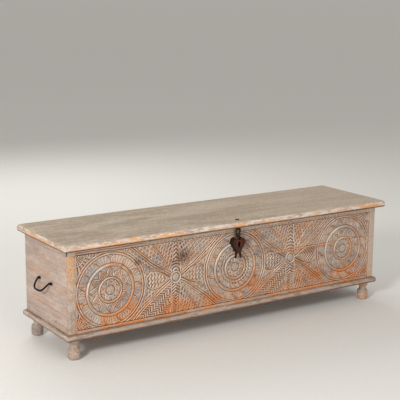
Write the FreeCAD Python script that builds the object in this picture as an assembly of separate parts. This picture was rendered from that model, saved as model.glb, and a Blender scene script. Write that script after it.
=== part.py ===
import FreeCAD, Part
import math
import os

# Low carved chest: a long box on turned feet with a lifting lid, a heart-shaped lock, a hasp and two
# swinging handles. Millimetres. Origin: middle of the footprint, on the floor. +X runs along the
# length to the right, +Y to the back, +Z up. The carved front faces -Y.

V = FreeCAD.Vector
X_AXIS = V(1, 0, 0)
Y_AXIS = V(0, 1, 0)
Z_AXIS = V(0, 0, 1)

# Driving sizes of the box
body_length = 1688.0
body_depth = 426.0
wall_height = 361.2
end_thickness = 33.0
front_thickness = 25.0
back_thickness = 22.0
facing_thickness = 14.0
rail_height = 24.5
board_gap = 0.3
cut_overrun = 5.0
level_tolerance = 0.01

# Lid
lid_side_overhang = 31.0
lid_front_overhang = 38.0
lid_back_overhang = 13.0
lid_thickness = 33.0
lid_rest_gap = 0.3
lid_plank_count = 3
batten_width = 60.0
batten_thickness = 22.0
batten_end_gap = 8.0
batten_inset = 90.0

# Rounding of the edges of the lid and the base frame, as shares of their thickness
nose_top_share = 0.45
nose_bottom_share = 0.3

# Base frame and feet
base_thickness = 28.0
base_overhang = 13.0
base_member_width = 85.0
foot_height = 89.0
foot_inset_length = 49.0
foot_inset_depth = 42.0
foot_pad_radius = 18.0
foot_ball_radius = 27.0
foot_ball_height = 52.0
foot_heel_height = 13.0
foot_shoulder_height = 36.0
foot_neck_radius = 16.5
foot_neck_height = 7.0
foot_disc_radius = 24.5
foot_disc_height = 15.0
foot_groove_radius = 1.5
foot_tenon_radius = 12.0
tenon_clearance = 0.15

# Floor
bearer_count = 3
bearer_width = 60.0
bearer_thickness = 18.0
floor_thickness = 18.0
floor_board_count = 3
floor_end_gap = 1.0

# Seams of the walls, as heights above the base frame
front_seam_height = 214.0
end_lower_seam_height = 75.0
end_upper_seam_height = 199.0
back_seam_height = 190.0

# Pegs at the corners and nails into the floor
peg_radius = 4.0
peg_bite = 32.0
peg_clearance = 0.05
peg_height_shares = (0.22, 0.78)
nail_head_radius = 4.2
nail_head_height = 1.6
nail_shank_radius = 1.7
nail_length = 62.0
nail_clearance = 0.1
floor_nail_depth_shares = (0.29, 0.56, 0.83)
batten_nail_length = 38.0
batten_nail_inset = 30.0
batten_nail_count = 6

# Carved front
relief = 6.5
relief_root = 2.0
field_bottom_margin = 14.0
roundel_x = 644.0
roundel_height = 174.0
star_x = 320.0
outer_ring_radius = 107.0
inner_ring_radius = 50.0
inner_ring_relief = 5.0
border_circle_radius = 160.0
border_circle_relief = 3.5
boss_radius = 22.0
star_ring_radius = 27.0
star_ring_relief = 4.0
star_boss_radius = 15.0
petal_count = 8
petal_length = 44.0
petal_width = 26.0
petal_relief = 3.5
rib_width = 13.0
rib_relief = 4.5
rib_reach = 176.0
rib_slope = 49.0
leaf_length = 112.0
leaf_width = 58.0
post_width = 26.0
post_length = 100.0
lock_pad_inset = 3.0

# Hinges
hinge_x_shares = (-0.36, 0.0, 0.36)
leaf_plate = 2.0
hinge_length = 66.0
knuckle_count = 3
hinge_leaf_height = 42.0
knuckle_radius = 4.0
knuckle_gap = 0.3
pin_radius = 1.8
pin_clearance = 0.05
pin_head_radius = 3.0
pin_head_height = 1.2
leaf_recess_gap = 0.3
screw_head_radius = 3.4
screw_head_height = 1.7
screw_shank_radius = 1.6
screw_length = 16.0
screw_clearance = 0.1
screw_spread_shares = (-0.36, 0.0, 0.36)
back_screw_drop = 27.0

# Lock
lock_x = -1.0
lock_depth = 26.0
lock_sheet = 2.0
lock_plate = 1.5
lobe_radius = 19.5
lobe_offset = 15.0
heart_height = 70.0
heart_tip_radius = 11.0
lock_top_drop = 48.2
key_circle_radius = 5.0
key_foot_radius = 4.6
key_slot_width = 7.6
keyhole_height = 22.5
keyhole_top_drop = 17.7
key_post_radius = 1.3
tail_reach = 24.0
tail_spread = 14.0
tail_root_spread = 9.0
tail_root_width = 6.5
tail_tip_radius = 1.9
tail_depth = 11.0
lock_nail_head_radius = 2.4
lock_nail_radius = 1.3
lobe_nail_share = 0.5
low_nail_offset = 6.0
low_nail_rise = 19.0

# Bolt of the lock
bolt_travel = 10.0
bolt_pin_radius = 1.5
bolt_plate = 3.0
bolt_riser_width = 4.0
bar_height = 5.0
bar_drop = 5.0
talon_radius = 2.6
bolt_clearance = 0.15
guide_width = 3.2
guide_wall = 2.0
guide_offset = 9.0
spring_sheet = 0.8
spring_width = 6.0
spring_tip_offset = 6.0
spring_reach = 11.0
spring_drop = 6.0
spring_bow_share = 0.25
spring_foot = 4.0

# Hasp and its staple
hasp_x = 1.0
hasp_wire_radius = 3.8
hasp_width = 28.0
hasp_bend = 5.0
hasp_corner_bend = 4.8
hasp_leg = 15.0
hasp_neck_drop = 25.0
hasp_neck_half_width = 7.8
hasp_eye_drop = 48.1
hasp_eye_radius = 4.2
hasp_eye_width = 6.0
hasp_tongue_thickness = 4.5
hasp_shoulder_gap = 1.6
hasp_pivot_drop = 8.0
eye_play = 0.4
notch_side_gap = 2.0
notch_bottom_gap = 0.7
staple_offset = 2.8
staple_clearance = 0.2
staple_wall = 2.2
staple_shank_radius = 2.4
staple_shank_bend = 3.0
clinch_length = 17.0
clinch_turn = -100.0

# Handles
handle_height = 187.0
handle_standoff = 7.5
handle_tilt = 33.7
bail_radius = 4.1
bail_clearance = 0.08
bail_drop = 49.5
bail_far_leg = 64.0
bail_far_bend = 30.0
bail_low_corner = 18.0
bail_low_bend = 45.0
bail_near_corner = 50.0
bail_near_bend = 6.0
bail_end_bend = 4.8
eye_far_offset = 57.4
eye_near_offset = 60.0
eye_width = 4.0
eye_wall = 2.1
eye_shank_radius = 2.5
eye_shank_bend = 3.2
eye_clinch_length = 14.0
hook_angle = 42.0
hook_radius = 2.4
hook_gap = 0.3

# Places that follow from the sizes above
body_left = -body_length / 2
body_right = body_length / 2
lid_depth = lid_front_overhang + body_depth + lid_back_overhang
body_front = lid_front_overhang - lid_depth / 2
body_back = body_front + body_depth
inner_left = body_left + end_thickness
inner_right = body_right - end_thickness
inner_front = body_front + front_thickness
inner_back = body_back - back_thickness
facing_back = body_front + facing_thickness
base_bottom = foot_height
base_top = base_bottom + base_thickness
wall_top = base_top + wall_height
rail_bottom = wall_top - rail_height
lid_bottom = wall_top + lid_rest_gap
lid_top = lid_bottom + lid_thickness
lid_left = body_left - lid_side_overhang
lid_right = body_right + lid_side_overhang
lid_front = body_front - lid_front_overhang
lid_back = body_back + lid_back_overhang
body_middle_y = (body_front + body_back) / 2
ground_y = body_front + relief
floor_bottom = base_top + bearer_thickness
floor_top = floor_bottom + floor_thickness
roundel_z = base_top + roundel_height
hinge_y = body_back + knuckle_radius + knuckle_gap
hinge_z = lid_bottom - knuckle_radius - knuckle_gap
lock_top = wall_top - lock_top_drop
heart_bottom = lock_top - heart_height
heart_tip_z = heart_bottom + heart_tip_radius
lobe_z = lock_top - lobe_radius
lock_front = body_front - lock_depth
case_back = body_front - lock_plate
hasp_y = body_front - lock_depth / 2
hasp_z = lid_bottom - hasp_pivot_drop
hasp_eye_z = hasp_z - hasp_eye_drop
notch_half_width = hasp_eye_width / 2 + notch_side_gap
notch_bottom = hasp_eye_z - hasp_eye_radius - notch_bottom_gap
key_z = lock_top - keyhole_top_drop - key_circle_radius
bar_top = key_z - bar_drop
bar_bottom = bar_top - bar_height
bar_left = lock_x - guide_offset - guide_width / 2 - 2 * bolt_clearance
riser_left = hasp_x + notch_half_width + lock_sheet + bolt_travel + 2 * bolt_clearance
riser_right = riser_left + bolt_riser_width
handle_z = base_top + handle_height
bail_end_reach = eye_width / 2 + hook_gap + hook_radius + bail_radius


def box(x0, x1, y0, y1, z0, z1):
    """A block between two corners."""
    return Part.makeBox(x1 - x0, y1 - y0, z1 - z0, V(x0, y0, z0))


def rod(start, end, radius):
    """A round bar between two points."""
    along = end - start
    return Part.makeCylinder(radius, along.Length, start, along)


def fused(solids):
    """One solid from several that overlap."""
    whole = solids[0].multiFuse(solids[1:]).removeSplitter()
    if whole.ShapeType == "Compound" and len(whole.Solids) == 1:
        return whole.Solids[0]
    return whole


def cut_all(solid, tools):
    """The solid with every tool taken out of it."""
    if not tools:
        return solid
    return solid.cut(Part.makeCompound(tools))


def prism(points, direction):
    """A flat outline of straight sides, pushed along a direction."""
    outline = Part.makePolygon(points + [points[0]])
    return Part.Face(outline).extrude(direction)


def path_of(points, bends):
    """Straight runs through the points, each inner corner rounded by its bend radius."""
    edges = []
    here = points[0]
    for i, bend in enumerate(bends, start=1):
        corner = points[i]
        back = (points[i - 1] - corner).normalize()
        ahead = (points[i + 1] - corner).normalize()
        half = back.getAngle(ahead) / 2
        setback = bend / math.tan(half)
        middle = (back + ahead).normalize()
        arc_in = corner + back * setback
        arc_out = corner + ahead * setback
        arc_mid = corner + middle * (bend / math.sin(half) - bend)
        edges.append(Part.LineSegment(here, arc_in).toShape())
        edges.append(Part.Arc(arc_in, arc_mid, arc_out).toShape())
        here = arc_out
    edges.append(Part.LineSegment(here, points[-1]).toShape())
    return Part.Wire(edges)


def bent_rod(points, bends, radius):
    """A round bar bent along a path."""
    start = points[0]
    along = points[1] - points[0]
    section = Part.Wire([Part.makeCircle(radius, start, along)])
    return path_of(points, bends).makePipeShell([section], True, False)


def level_edges(solid, z):
    """The edges of a solid that lie flat at one height."""
    boxes = [(edge, edge.BoundBox) for edge in solid.Edges]
    return [edge for edge, bounds in boxes
            if abs(bounds.ZMin - z) < level_tolerance and abs(bounds.ZMax - z) < level_tolerance]


def nosed_slab(x0, x1, y0, y1, bottom, thickness):
    """A slab whose four edges are rounded and meet in mitres at the corners."""
    top = bottom + thickness
    slab = box(x0, x1, y0, y1, bottom, top)
    slab = slab.makeFillet(thickness * nose_bottom_share, level_edges(slab, bottom))
    return slab.makeFillet(thickness * nose_top_share, level_edges(slab, top))


def fastener(head, direction, length, head_radius, head_height, shank_radius, grow=0.0):
    """A nail or screw with a sunk cone head; grow makes the tool for its hole."""
    along = V(direction).normalize()
    cone = Part.makeCone(head_radius + grow, shank_radius + grow, head_height, head, along)
    shank = Part.makeCylinder(shank_radius + grow, length + grow, head, along)
    return cone.fuse(shank).removeSplitter()


def nail(head, direction, length, grow=0.0):
    """A forged nail."""
    return fastener(head, direction, length, nail_head_radius, nail_head_height, nail_shank_radius, grow)


def screw(head, direction, grow=0.0):
    """A hinge screw."""
    return fastener(head, direction, screw_length, screw_head_radius, screw_head_height,
                    screw_shank_radius, grow)


def group(solids):
    """Several separate solids kept in one node."""
    return Part.makeCompound([s for solid in solids for s in solid.Solids])


def heart_lean():
    """Angle between the heart's straight sides and the upright."""
    drop = lobe_z - heart_tip_z
    reach = math.hypot(lobe_offset, drop)
    return math.atan2(lobe_offset, drop) + math.asin((lobe_radius - heart_tip_radius) / reach)


def heart_prism(inset, y0, y1):
    """A heart-shaped block between two planes, its outline drawn in by inset."""
    radius = lobe_radius - inset
    tip_radius = heart_tip_radius - inset
    along = math.cos(heart_lean())
    down = math.sin(heart_lean())
    depth = Y_AXIS * (y1 - y0)
    rounds = [
        Part.makeCylinder(radius, y1 - y0, V(lock_x + side * lobe_offset, y0, lobe_z), Y_AXIS)
        for side in (-1, 1)
    ]
    rounds.append(Part.makeCylinder(tip_radius, y1 - y0, V(lock_x, y0, heart_tip_z), Y_AXIS))
    side_x = lobe_offset + radius * along
    side_z = lobe_z - radius * down
    tip_x = tip_radius * along
    tip_z = heart_tip_z - tip_radius * down
    middle = prism([
        V(lock_x - tip_x, y0, tip_z),
        V(lock_x + tip_x, y0, tip_z),
        V(lock_x + side_x, y0, side_z),
        V(lock_x + lobe_offset, y0, lobe_z),
        V(lock_x - lobe_offset, y0, lobe_z),
        V(lock_x - side_x, y0, side_z),
    ], depth)
    return fused([middle] + rounds)


def notch_block(grow, y0, y1):
    """The space between the lobes where the hasp's eye hangs."""
    return box(hasp_x - notch_half_width - grow, hasp_x + notch_half_width + grow, y0, y1,
               notch_bottom - grow, lock_top + cut_overrun)


# Pegs and nails of the box

def corner_peg_places():
    """Where each peg starts on an end board's face, and the way it points."""
    places = []
    seams = (base_top, base_top + end_lower_seam_height, base_top + end_upper_seam_height, wall_top)
    front_y = facing_back + (inner_front - facing_back) / 2
    back_y = inner_back + back_thickness / 2
    for x, way in ((body_left, 1), (body_right, -1)):
        for y in (front_y, back_y):
            for low, high in zip(seams[:-1], seams[1:]):
                for share in peg_height_shares:
                    places.append((V(x, y, low + (high - low) * share), X_AXIS * way))
    return places


def corner_pegs(grow=0.0):
    """Wooden pegs through the end boards into the front and back boards."""
    return [
        Part.makeCylinder(peg_radius + grow, end_thickness + peg_bite + grow, start, way)
        for start, way in corner_peg_places()
    ]


def floor_nails(grow=0.0):
    """Nails through the end boards into the ends of the floor boards."""
    nails = []
    z = floor_bottom + floor_thickness / 2
    for x, way in ((body_left, 1), (body_right, -1)):
        for share in floor_nail_depth_shares:
            y = body_front + body_depth * share
            nails.append(nail(V(x, y, z), X_AXIS * way, nail_length, grow))
    return nails


def wall_tools():
    """Holes of the pegs and floor nails."""
    return corner_pegs(peg_clearance) + floor_nails(nail_clearance)


# Carved front boards

def ring(x, z, radius, height):
    """A raised round moulding, half sunk in the ground of the carving."""
    return Part.makeTorus(radius, height, V(x, ground_y, z), Y_AXIS)


def boss(x, z, radius, height):
    """A raised round button."""
    ball = (radius ** 2 + height ** 2) / (2 * height)
    whole = Part.makeSphere(ball, V(x, ground_y - height + ball, z))
    return whole.common(box(x - radius, x + radius, body_front - relief, ground_y + relief_root,
                            z - radius, z + radius))


def leaf(x, z, angle, start, length, width, height):
    """A raised pointed leaf that begins at a distance from a centre and runs out at an angle."""
    turn = math.radians(angle)
    along = V(math.cos(turn), 0, math.sin(turn))
    side = V(-math.sin(turn), 0, math.cos(turn))
    centre = V(x, ground_y + relief_root, z)
    tip_in = centre + along * start
    tip_out = centre + along * (start + length)
    middle = centre + along * (start + length / 2)
    outline = Part.Wire([
        Part.Arc(tip_in, middle + side * (width / 2), tip_out).toShape(),
        Part.Arc(tip_out, middle - side * (width / 2), tip_in).toShape(),
    ])
    return Part.Face(outline).extrude(-Y_AXIS * (height + relief_root))


def roundel(x):
    """Ringed flower: border circle, two rings, petals between them and a button."""
    shapes = [
        ring(x, roundel_z, border_circle_radius, border_circle_relief),
        ring(x, roundel_z, outer_ring_radius, relief),
        ring(x, roundel_z, inner_ring_radius, inner_ring_relief),
        boss(x, roundel_z, boss_radius, inner_ring_relief),
    ]
    gap = outer_ring_radius - inner_ring_radius - petal_length
    start = inner_ring_radius + gap / 2
    for i in range(petal_count):
        angle = 360.0 * (i + 0.5) / petal_count
        shapes.append(leaf(x, roundel_z, angle, start, petal_length, petal_width, petal_relief))
    return shapes


def star(x):
    """Star: four long ribs to the corners, leaves to the sides, posts above and below."""
    shapes = [
        ring(x, roundel_z, star_ring_radius, star_ring_relief),
        boss(x, roundel_z, star_boss_radius, star_ring_relief),
    ]
    for side in (0.0, 180.0):
        shapes.append(leaf(x, roundel_z, side, star_ring_radius, leaf_length, leaf_width, petal_relief))
        for slope in (-rib_slope, rib_slope):
            shapes.append(leaf(x, roundel_z, side + slope, star_ring_radius, rib_reach, rib_width,
                               rib_relief))
    for up in (-1, 1):
        near = roundel_z + up * star_ring_radius
        far = near + up * post_length
        shapes.append(box(x - post_width / 2, x + post_width / 2, ground_y - petal_relief,
                          ground_y + relief_root, min(near, far), max(near, far)))
    return shapes


def front_boards():
    """The two carved boards, cut back at the top for the plain strip."""
    top = wall_top
    plain = box(inner_left, inner_right, ground_y, inner_front, base_top, top)
    margin_top = base_top + field_bottom_margin
    margin = box(inner_left, inner_right, body_front, ground_y, base_top, margin_top)
    pad = heart_prism(lock_pad_inset, body_front, ground_y)
    shapes = [margin, pad]
    for x in (-roundel_x, 0.0, roundel_x):
        shapes += roundel(x)
    for x in (-star_x, star_x):
        shapes += star(x)
    field = box(inner_left, inner_right, body_front, inner_front, base_top, rail_bottom - board_gap)
    carved = plain.multiFuse(shapes).common(field.fuse(
        box(inner_left, inner_right, facing_back + board_gap, inner_front, base_top, top)))
    seam = base_top + front_seam_height
    lower = carved.common(box(inner_left, inner_right, body_front, inner_front, base_top, seam))
    upper = carved.common(box(inner_left, inner_right, body_front, inner_front, seam + board_gap, top))
    tools = wall_tools() + lock_nails(nail_clearance)
    return cut_all(lower, tools), cut_all(upper, tools)


# Plain walls, floor and base

def stile(x0, x1):
    """Upright strip over the front edges of the end boards."""
    return box(x0, x1, body_front, facing_back, base_top, rail_bottom - board_gap)


def end_boards(x0, x1):
    """Three boards of one end, lowest first."""
    tools = wall_tools() + handle_eye_tools()
    seams = (base_top, base_top + end_lower_seam_height, base_top + end_upper_seam_height,
             wall_top + board_gap)
    boards = []
    for low, high in zip(seams[:-1], seams[1:]):
        board = box(x0, x1, facing_back, body_back, low, high - board_gap)
        boards.append(cut_all(board, tools))
    return boards


def back_boards():
    """Two boards of the back; the upper one is recessed for the hinge leaves."""
    seam = base_top + back_seam_height
    lower = box(inner_left, inner_right, inner_back, body_back, base_top, seam)
    upper = box(inner_left, inner_right, inner_back, body_back, seam + board_gap, wall_top)
    recesses = []
    for x in hinge_places():
        half = hinge_length / 2 + leaf_recess_gap
        bottom = lid_bottom - leaf_plate - leaf_recess_gap
        recesses.append(box(x - half, x + half, inner_back - cut_overrun, body_back + cut_overrun,
                            bottom, wall_top + cut_overrun))
    tools = wall_tools()
    upper = cut_all(upper, tools + recesses + back_screws(screw_clearance))
    return cut_all(lower, tools), upper


def floor_bearers():
    """Cross pieces on the base frame that carry the floor."""
    bearers = []
    span = inner_right - inner_left - bearer_width
    for i in range(bearer_count):
        x = inner_left + span * i / (bearer_count - 1)
        bearers.append(box(x, x + bearer_width, inner_front, inner_back, base_top, floor_bottom))
    return group(bearers)


def floor_boards():
    """Three long boards side by side, front first."""
    tools = floor_nails(nail_clearance)
    width = (inner_back - inner_front) / floor_board_count
    boards = []
    for i in range(floor_board_count):
        y0 = inner_front + width * i
        board = box(inner_left + floor_end_gap, inner_right - floor_end_gap, y0 + board_gap / 2,
                    y0 + width - board_gap / 2, floor_bottom, floor_top)
        boards.append(cut_all(board, tools))
    return boards


def foot_places():
    """Name and centre of each foot."""
    left = body_left - base_overhang + foot_inset_length
    right = body_right + base_overhang - foot_inset_length
    front = body_front - base_overhang + foot_inset_depth
    back = body_back + base_overhang - foot_inset_depth
    return (("foot_front_left", left, front), ("foot_front_right", right, front),
            ("foot_back_left", left, back), ("foot_back_right", right, back))


def quarter_point(near_radius, far_radius, near_z, far_z):
    """Middle of a quarter round that starts level at near_z and ends upright at far_z."""
    share = math.sin(math.pi / 4)
    return V(near_radius + (far_radius - near_radius) * share, 0, far_z + (near_z - far_z) * share)


def foot(x, y):
    """Turned foot: squat ball, neck, cove, disc and a tenon up into the base frame."""
    cove_bottom = foot_ball_height + foot_neck_height
    disc_bottom = foot_height - foot_disc_height
    tenon_top = foot_height + base_thickness
    cove_depth = (foot_disc_radius - foot_neck_radius) / 2
    cove_mid = V(foot_neck_radius + cove_depth / 2, 0, (cove_bottom + disc_bottom) / 2)
    heel_mid = quarter_point(foot_pad_radius, foot_ball_radius, 0, foot_heel_height)
    shoulder_mid = quarter_point(foot_neck_radius, foot_ball_radius, foot_ball_height,
                                 foot_shoulder_height)
    profile = Part.Wire([
        Part.LineSegment(V(0, 0, 0), V(foot_pad_radius, 0, 0)).toShape(),
        Part.Arc(V(foot_pad_radius, 0, 0), heel_mid,
                 V(foot_ball_radius, 0, foot_heel_height)).toShape(),
        Part.LineSegment(V(foot_ball_radius, 0, foot_heel_height),
                         V(foot_ball_radius, 0, foot_shoulder_height)).toShape(),
        Part.Arc(V(foot_ball_radius, 0, foot_shoulder_height), shoulder_mid,
                 V(foot_neck_radius, 0, foot_ball_height)).toShape(),
        Part.LineSegment(V(foot_neck_radius, 0, foot_ball_height),
                         V(foot_neck_radius, 0, cove_bottom)).toShape(),
        Part.Arc(V(foot_neck_radius, 0, cove_bottom), cove_mid,
                 V(foot_disc_radius, 0, disc_bottom)).toShape(),
        Part.LineSegment(V(foot_disc_radius, 0, disc_bottom),
                         V(foot_disc_radius, 0, foot_height)).toShape(),
        Part.LineSegment(V(foot_disc_radius, 0, foot_height),
                         V(foot_tenon_radius, 0, foot_height)).toShape(),
        Part.LineSegment(V(foot_tenon_radius, 0, foot_height),
                         V(foot_tenon_radius, 0, tenon_top)).toShape(),
        Part.LineSegment(V(foot_tenon_radius, 0, tenon_top), V(0, 0, tenon_top)).toShape(),
        Part.LineSegment(V(0, 0, tenon_top), V(0, 0, 0)).toShape(),
    ])
    turned = Part.Face(profile).revolve(V(0, 0, 0), Z_AXIS, 360)
    groove = Part.makeTorus(foot_ball_radius, foot_groove_radius, V(0, 0, foot_shoulder_height), Z_AXIS)
    shaped = turned.cut(groove)
    shaped.translate(V(x, y, 0))
    return shaped


def base_members():
    """Front, back, left and right members of the base frame, mitred at the corners."""
    x0 = body_left - base_overhang
    x1 = body_right + base_overhang
    y0 = body_front - base_overhang
    y1 = body_back + base_overhang
    width = base_member_width
    frame = nosed_slab(x0, x1, y0, y1, base_bottom, base_thickness)
    frame = frame.cut(box(x0 + width, x1 - width, y0 + width, y1 - width, base_bottom - cut_overrun,
                          base_top + cut_overrun))
    holes = [
        Part.makeCylinder(foot_tenon_radius + tenon_clearance, base_thickness + 2 * cut_overrun,
                          V(x, y, base_bottom - cut_overrun), Z_AXIS)
        for name, x, y in foot_places()
    ]
    frame = cut_all(frame, holes)
    rise = Z_AXIS * base_thickness
    z = base_bottom
    outer = {"lf": V(x0, y0, z), "rf": V(x1, y0, z), "rb": V(x1, y1, z), "lb": V(x0, y1, z)}
    inner = {
        "lf": V(x0 + width, y0 + width, z), "rf": V(x1 - width, y0 + width, z),
        "rb": V(x1 - width, y1 - width, z), "lb": V(x0 + width, y1 - width, z),
    }
    members = []
    for a, b in (("lf", "rf"), ("rb", "lb"), ("lb", "lf"), ("rf", "rb")):
        wedge = prism([outer[a], outer[b], inner[b], inner[a]], rise)
        members.append(frame.common(wedge))
    return members


# Lid

def batten_places():
    """Left edge of each batten."""
    first = inner_left + batten_inset
    last = inner_right - batten_inset - batten_width
    return [first, (first + last) / 2, last]


def batten_nails(grow=0.0):
    """Nails up through the battens into the lid planks."""
    nails = []
    low = inner_front + batten_end_gap + batten_nail_inset
    high = inner_back - batten_end_gap - batten_nail_inset
    z = lid_bottom - batten_thickness
    for x in batten_places():
        for i in range(batten_nail_count):
            y = low + (high - low) * i / (batten_nail_count - 1)
            nails.append(nail(V(x + batten_width / 2, y, z), Z_AXIS, batten_nail_length, grow))
    return nails


def lid_planks():
    """Planks of the lid, front first."""
    slab = nosed_slab(lid_left, lid_right, lid_front, lid_back, lid_bottom, lid_thickness)
    tools = batten_nails(nail_clearance) + lid_screws(screw_clearance)
    tools.append(rod(V(staple_x(), hasp_y, lid_bottom - cut_overrun),
                     V(staple_x(), hasp_y, lid_top + cut_overrun),
                     staple_shank_radius + staple_clearance))
    width = lid_depth / lid_plank_count
    planks = []
    for i in range(lid_plank_count):
        y0 = lid_front + width * i + (board_gap / 2 if i else 0.0)
        y1 = lid_front + width * (i + 1) - (board_gap / 2 if i < lid_plank_count - 1 else 0.0)
        plank = slab.common(box(lid_left, lid_right, y0, y1, lid_bottom, lid_top))
        planks.append(cut_all(plank, tools))
    return planks


def battens():
    """Cross pieces under the lid, left first."""
    tools = batten_nails(nail_clearance)
    y0 = inner_front + batten_end_gap
    y1 = inner_back - batten_end_gap
    return [
        cut_all(box(x, x + batten_width, y0, y1, lid_bottom - batten_thickness, lid_bottom), tools)
        for x in batten_places()
    ]


# Hinges

def hinge_places():
    """Middle of each hinge along the length."""
    return [body_length * share for share in hinge_x_shares]


def knuckle(x0, x1):
    """A rolled eye of a hinge leaf, before its bore is cut."""
    return rod(V(x0, hinge_y, hinge_z), V(x1, hinge_y, hinge_z), knuckle_radius)


def pin_bore(x):
    """The hole through the knuckles of one hinge."""
    half = hinge_length / 2 + cut_overrun
    return rod(V(x - half, hinge_y, hinge_z), V(x + half, hinge_y, hinge_z), pin_radius + pin_clearance)


def leaf_pair(x):
    """Lid leaf and back leaf of one hinge; the lid leaf has the middle knuckle."""
    half = hinge_length / 2
    third = half / knuckle_count
    clear = knuckle_radius + knuckle_gap
    lid_low = lid_bottom - leaf_plate
    lid_plate = box(x - half, x + half, inner_back, hinge_y, lid_low, lid_bottom)
    lid_cuts = [
        box(a, b, hinge_y - clear, hinge_y + cut_overrun, lid_low - cut_overrun, lid_bottom + cut_overrun)
        for a, b in ((x - half - cut_overrun, x - third), (x + third, x + half + cut_overrun))
    ]
    middle = knuckle(x - third + knuckle_gap / 2, x + third - knuckle_gap / 2)
    lid_leaf = cut_all(lid_plate, lid_cuts).fuse(middle).cut(pin_bore(x)).removeSplitter()
    back_plate = box(x - half, x + half, body_back, body_back + leaf_plate, hinge_z - hinge_leaf_height,
                     hinge_z)
    back_cut = box(x - third - knuckle_gap / 2, x + third + knuckle_gap / 2, body_back - cut_overrun,
                   hinge_y, hinge_z - clear, hinge_z + cut_overrun)
    outers = [
        knuckle(x - half, x - third - knuckle_gap / 2),
        knuckle(x + third + knuckle_gap / 2, x + half),
    ]
    back_leaf = back_plate.cut(back_cut).multiFuse(outers).cut(pin_bore(x)).removeSplitter()
    lid_leaf = cut_all(lid_leaf, lid_screws(screw_clearance))
    back_leaf = cut_all(back_leaf, back_screws(screw_clearance))
    return lid_leaf, back_leaf


def hinge_pin(x):
    """Pin of one hinge with a small head at each end."""
    half = hinge_length / 2
    shank = rod(V(x - half, hinge_y, hinge_z), V(x + half, hinge_y, hinge_z), pin_radius)
    heads = [
        rod(V(x + side * half, hinge_y, hinge_z), V(x + side * (half + pin_head_height), hinge_y, hinge_z),
            pin_head_radius)
        for side in (-1, 1)
    ]
    return fused([shank] + heads)


def lid_screws(grow=0.0):
    """Screws up through the lid leaves."""
    y = inner_back + back_thickness / 2
    return [
        screw(V(x + hinge_length * share, y, lid_bottom - leaf_plate), Z_AXIS, grow)
        for x in hinge_places() for share in screw_spread_shares
    ]


def back_screws(grow=0.0):
    """Screws through the back leaves into the upper back board."""
    return [
        screw(V(x + hinge_length * share, body_back + leaf_plate, hinge_z - back_screw_drop), -Y_AXIS, grow)
        for x in hinge_places() for share in screw_spread_shares
    ]


# Lock

def lock_cover():
    """Heart-shaped box open at the back, with two tails, a notch for the hasp and the keyhole."""
    outer = heart_prism(0.0, lock_front, case_back)
    cavity = heart_prism(lock_sheet, lock_front + lock_sheet, case_back + cut_overrun)
    cavity = cavity.cut(notch_block(lock_sheet, lock_front, case_back + cut_overrun))
    outer = fused([outer] + lock_tail(-1) + lock_tail(1))
    shell = outer.cut(notch_block(0.0, lock_front - cut_overrun, case_back + cut_overrun)).cut(cavity)
    foot_z = lock_top - keyhole_top_drop - keyhole_height + key_foot_radius
    y0 = lock_front - cut_overrun
    depth = lock_sheet + 2 * cut_overrun
    keyhole = [
        Part.makeCylinder(key_circle_radius, depth, V(lock_x, y0, key_z), Y_AXIS),
        Part.makeCylinder(key_foot_radius, depth, V(lock_x, y0, foot_z), Y_AXIS),
        box(lock_x - key_slot_width / 2, lock_x + key_slot_width / 2, y0, y0 + depth, foot_z, key_z),
    ]
    bolt_hole = rod(V(hasp_x, hasp_y, hasp_eye_z), V(riser_right, hasp_y, hasp_eye_z),
                    bolt_pin_radius + bolt_clearance)
    return cut_all(shell, [fused(keyhole), bolt_hole])


def lock_tail(side):
    """One of the two small legs below the heart, an end of the strip that makes its sides."""
    root_z = heart_bottom + tail_root_width
    tip_z = heart_bottom - tail_reach + tail_tip_radius
    y0 = lock_front + lock_sheet
    half = tail_root_width / 2
    root_x = lock_x + side * tail_root_spread
    tip_x = lock_x + side * tail_spread
    blade = prism([
        V(root_x - half, y0, root_z),
        V(root_x + half, y0, root_z),
        V(tip_x + tail_tip_radius, y0, tip_z),
        V(tip_x - tail_tip_radius, y0, tip_z),
    ], Y_AXIS * tail_depth)
    tip = Part.makeCylinder(tail_tip_radius, tail_depth, V(tip_x, y0, tip_z), Y_AXIS)
    return [blade, tip]


def lock_nail_places():
    """Front of each nail's head: two above the heart's point, one behind each lobe."""
    places = []
    for side in (-1, 1):
        places.append(V(lock_x + side * low_nail_offset, case_back, heart_bottom + low_nail_rise))
        places.append(V(lock_x + side * (lobe_offset + lobe_radius * lobe_nail_share), case_back, lobe_z))
    return places


def lock_nails(grow=0.0):
    """Short nails that hold the lock to the front board."""
    return [
        fastener(place, Y_AXIS, front_thickness - relief, lock_nail_head_radius, lock_plate,
                 lock_nail_radius, grow)
        for place in lock_nail_places()
    ]


def lock_back_plate():
    """Flat heart against the wood."""
    plate = heart_prism(0.0, case_back, body_front)
    plate = plate.cut(notch_block(0.0, case_back - cut_overrun, body_front + cut_overrun))
    return cut_all(plate, lock_nails(nail_clearance))


def bar_box(grow, x0, x1):
    """The bolt's sliding bar, grown for the slots in its guides."""
    half = bolt_plate / 2 + grow
    return box(x0, x1, hasp_y - half, hasp_y + half, bar_bottom - grow, bar_top + grow)


def lock_bolt():
    """Bolt: a pin that passes the hasp's eye, a riser, and a bar with two notches for the key's bit."""
    tip = hasp_x + notch_half_width + lock_sheet / 2
    pin = rod(V(tip, hasp_y, hasp_eye_z), V(riser_left + bolt_riser_width / 2, hasp_y, hasp_eye_z),
              bolt_pin_radius)
    upright = box(riser_left, riser_right, hasp_y - bolt_plate / 2, hasp_y + bolt_plate / 2, bar_bottom,
                  hasp_eye_z)
    bar = bar_box(0.0, bar_left, riser_right)
    talons = [
        rod(V(x, hasp_y - bolt_plate, bar_top), V(x, hasp_y + bolt_plate, bar_top), talon_radius)
        for x in (lock_x, lock_x + bolt_travel)
    ]
    return cut_all(fused([pin, upright, bar]), talons)


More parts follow.
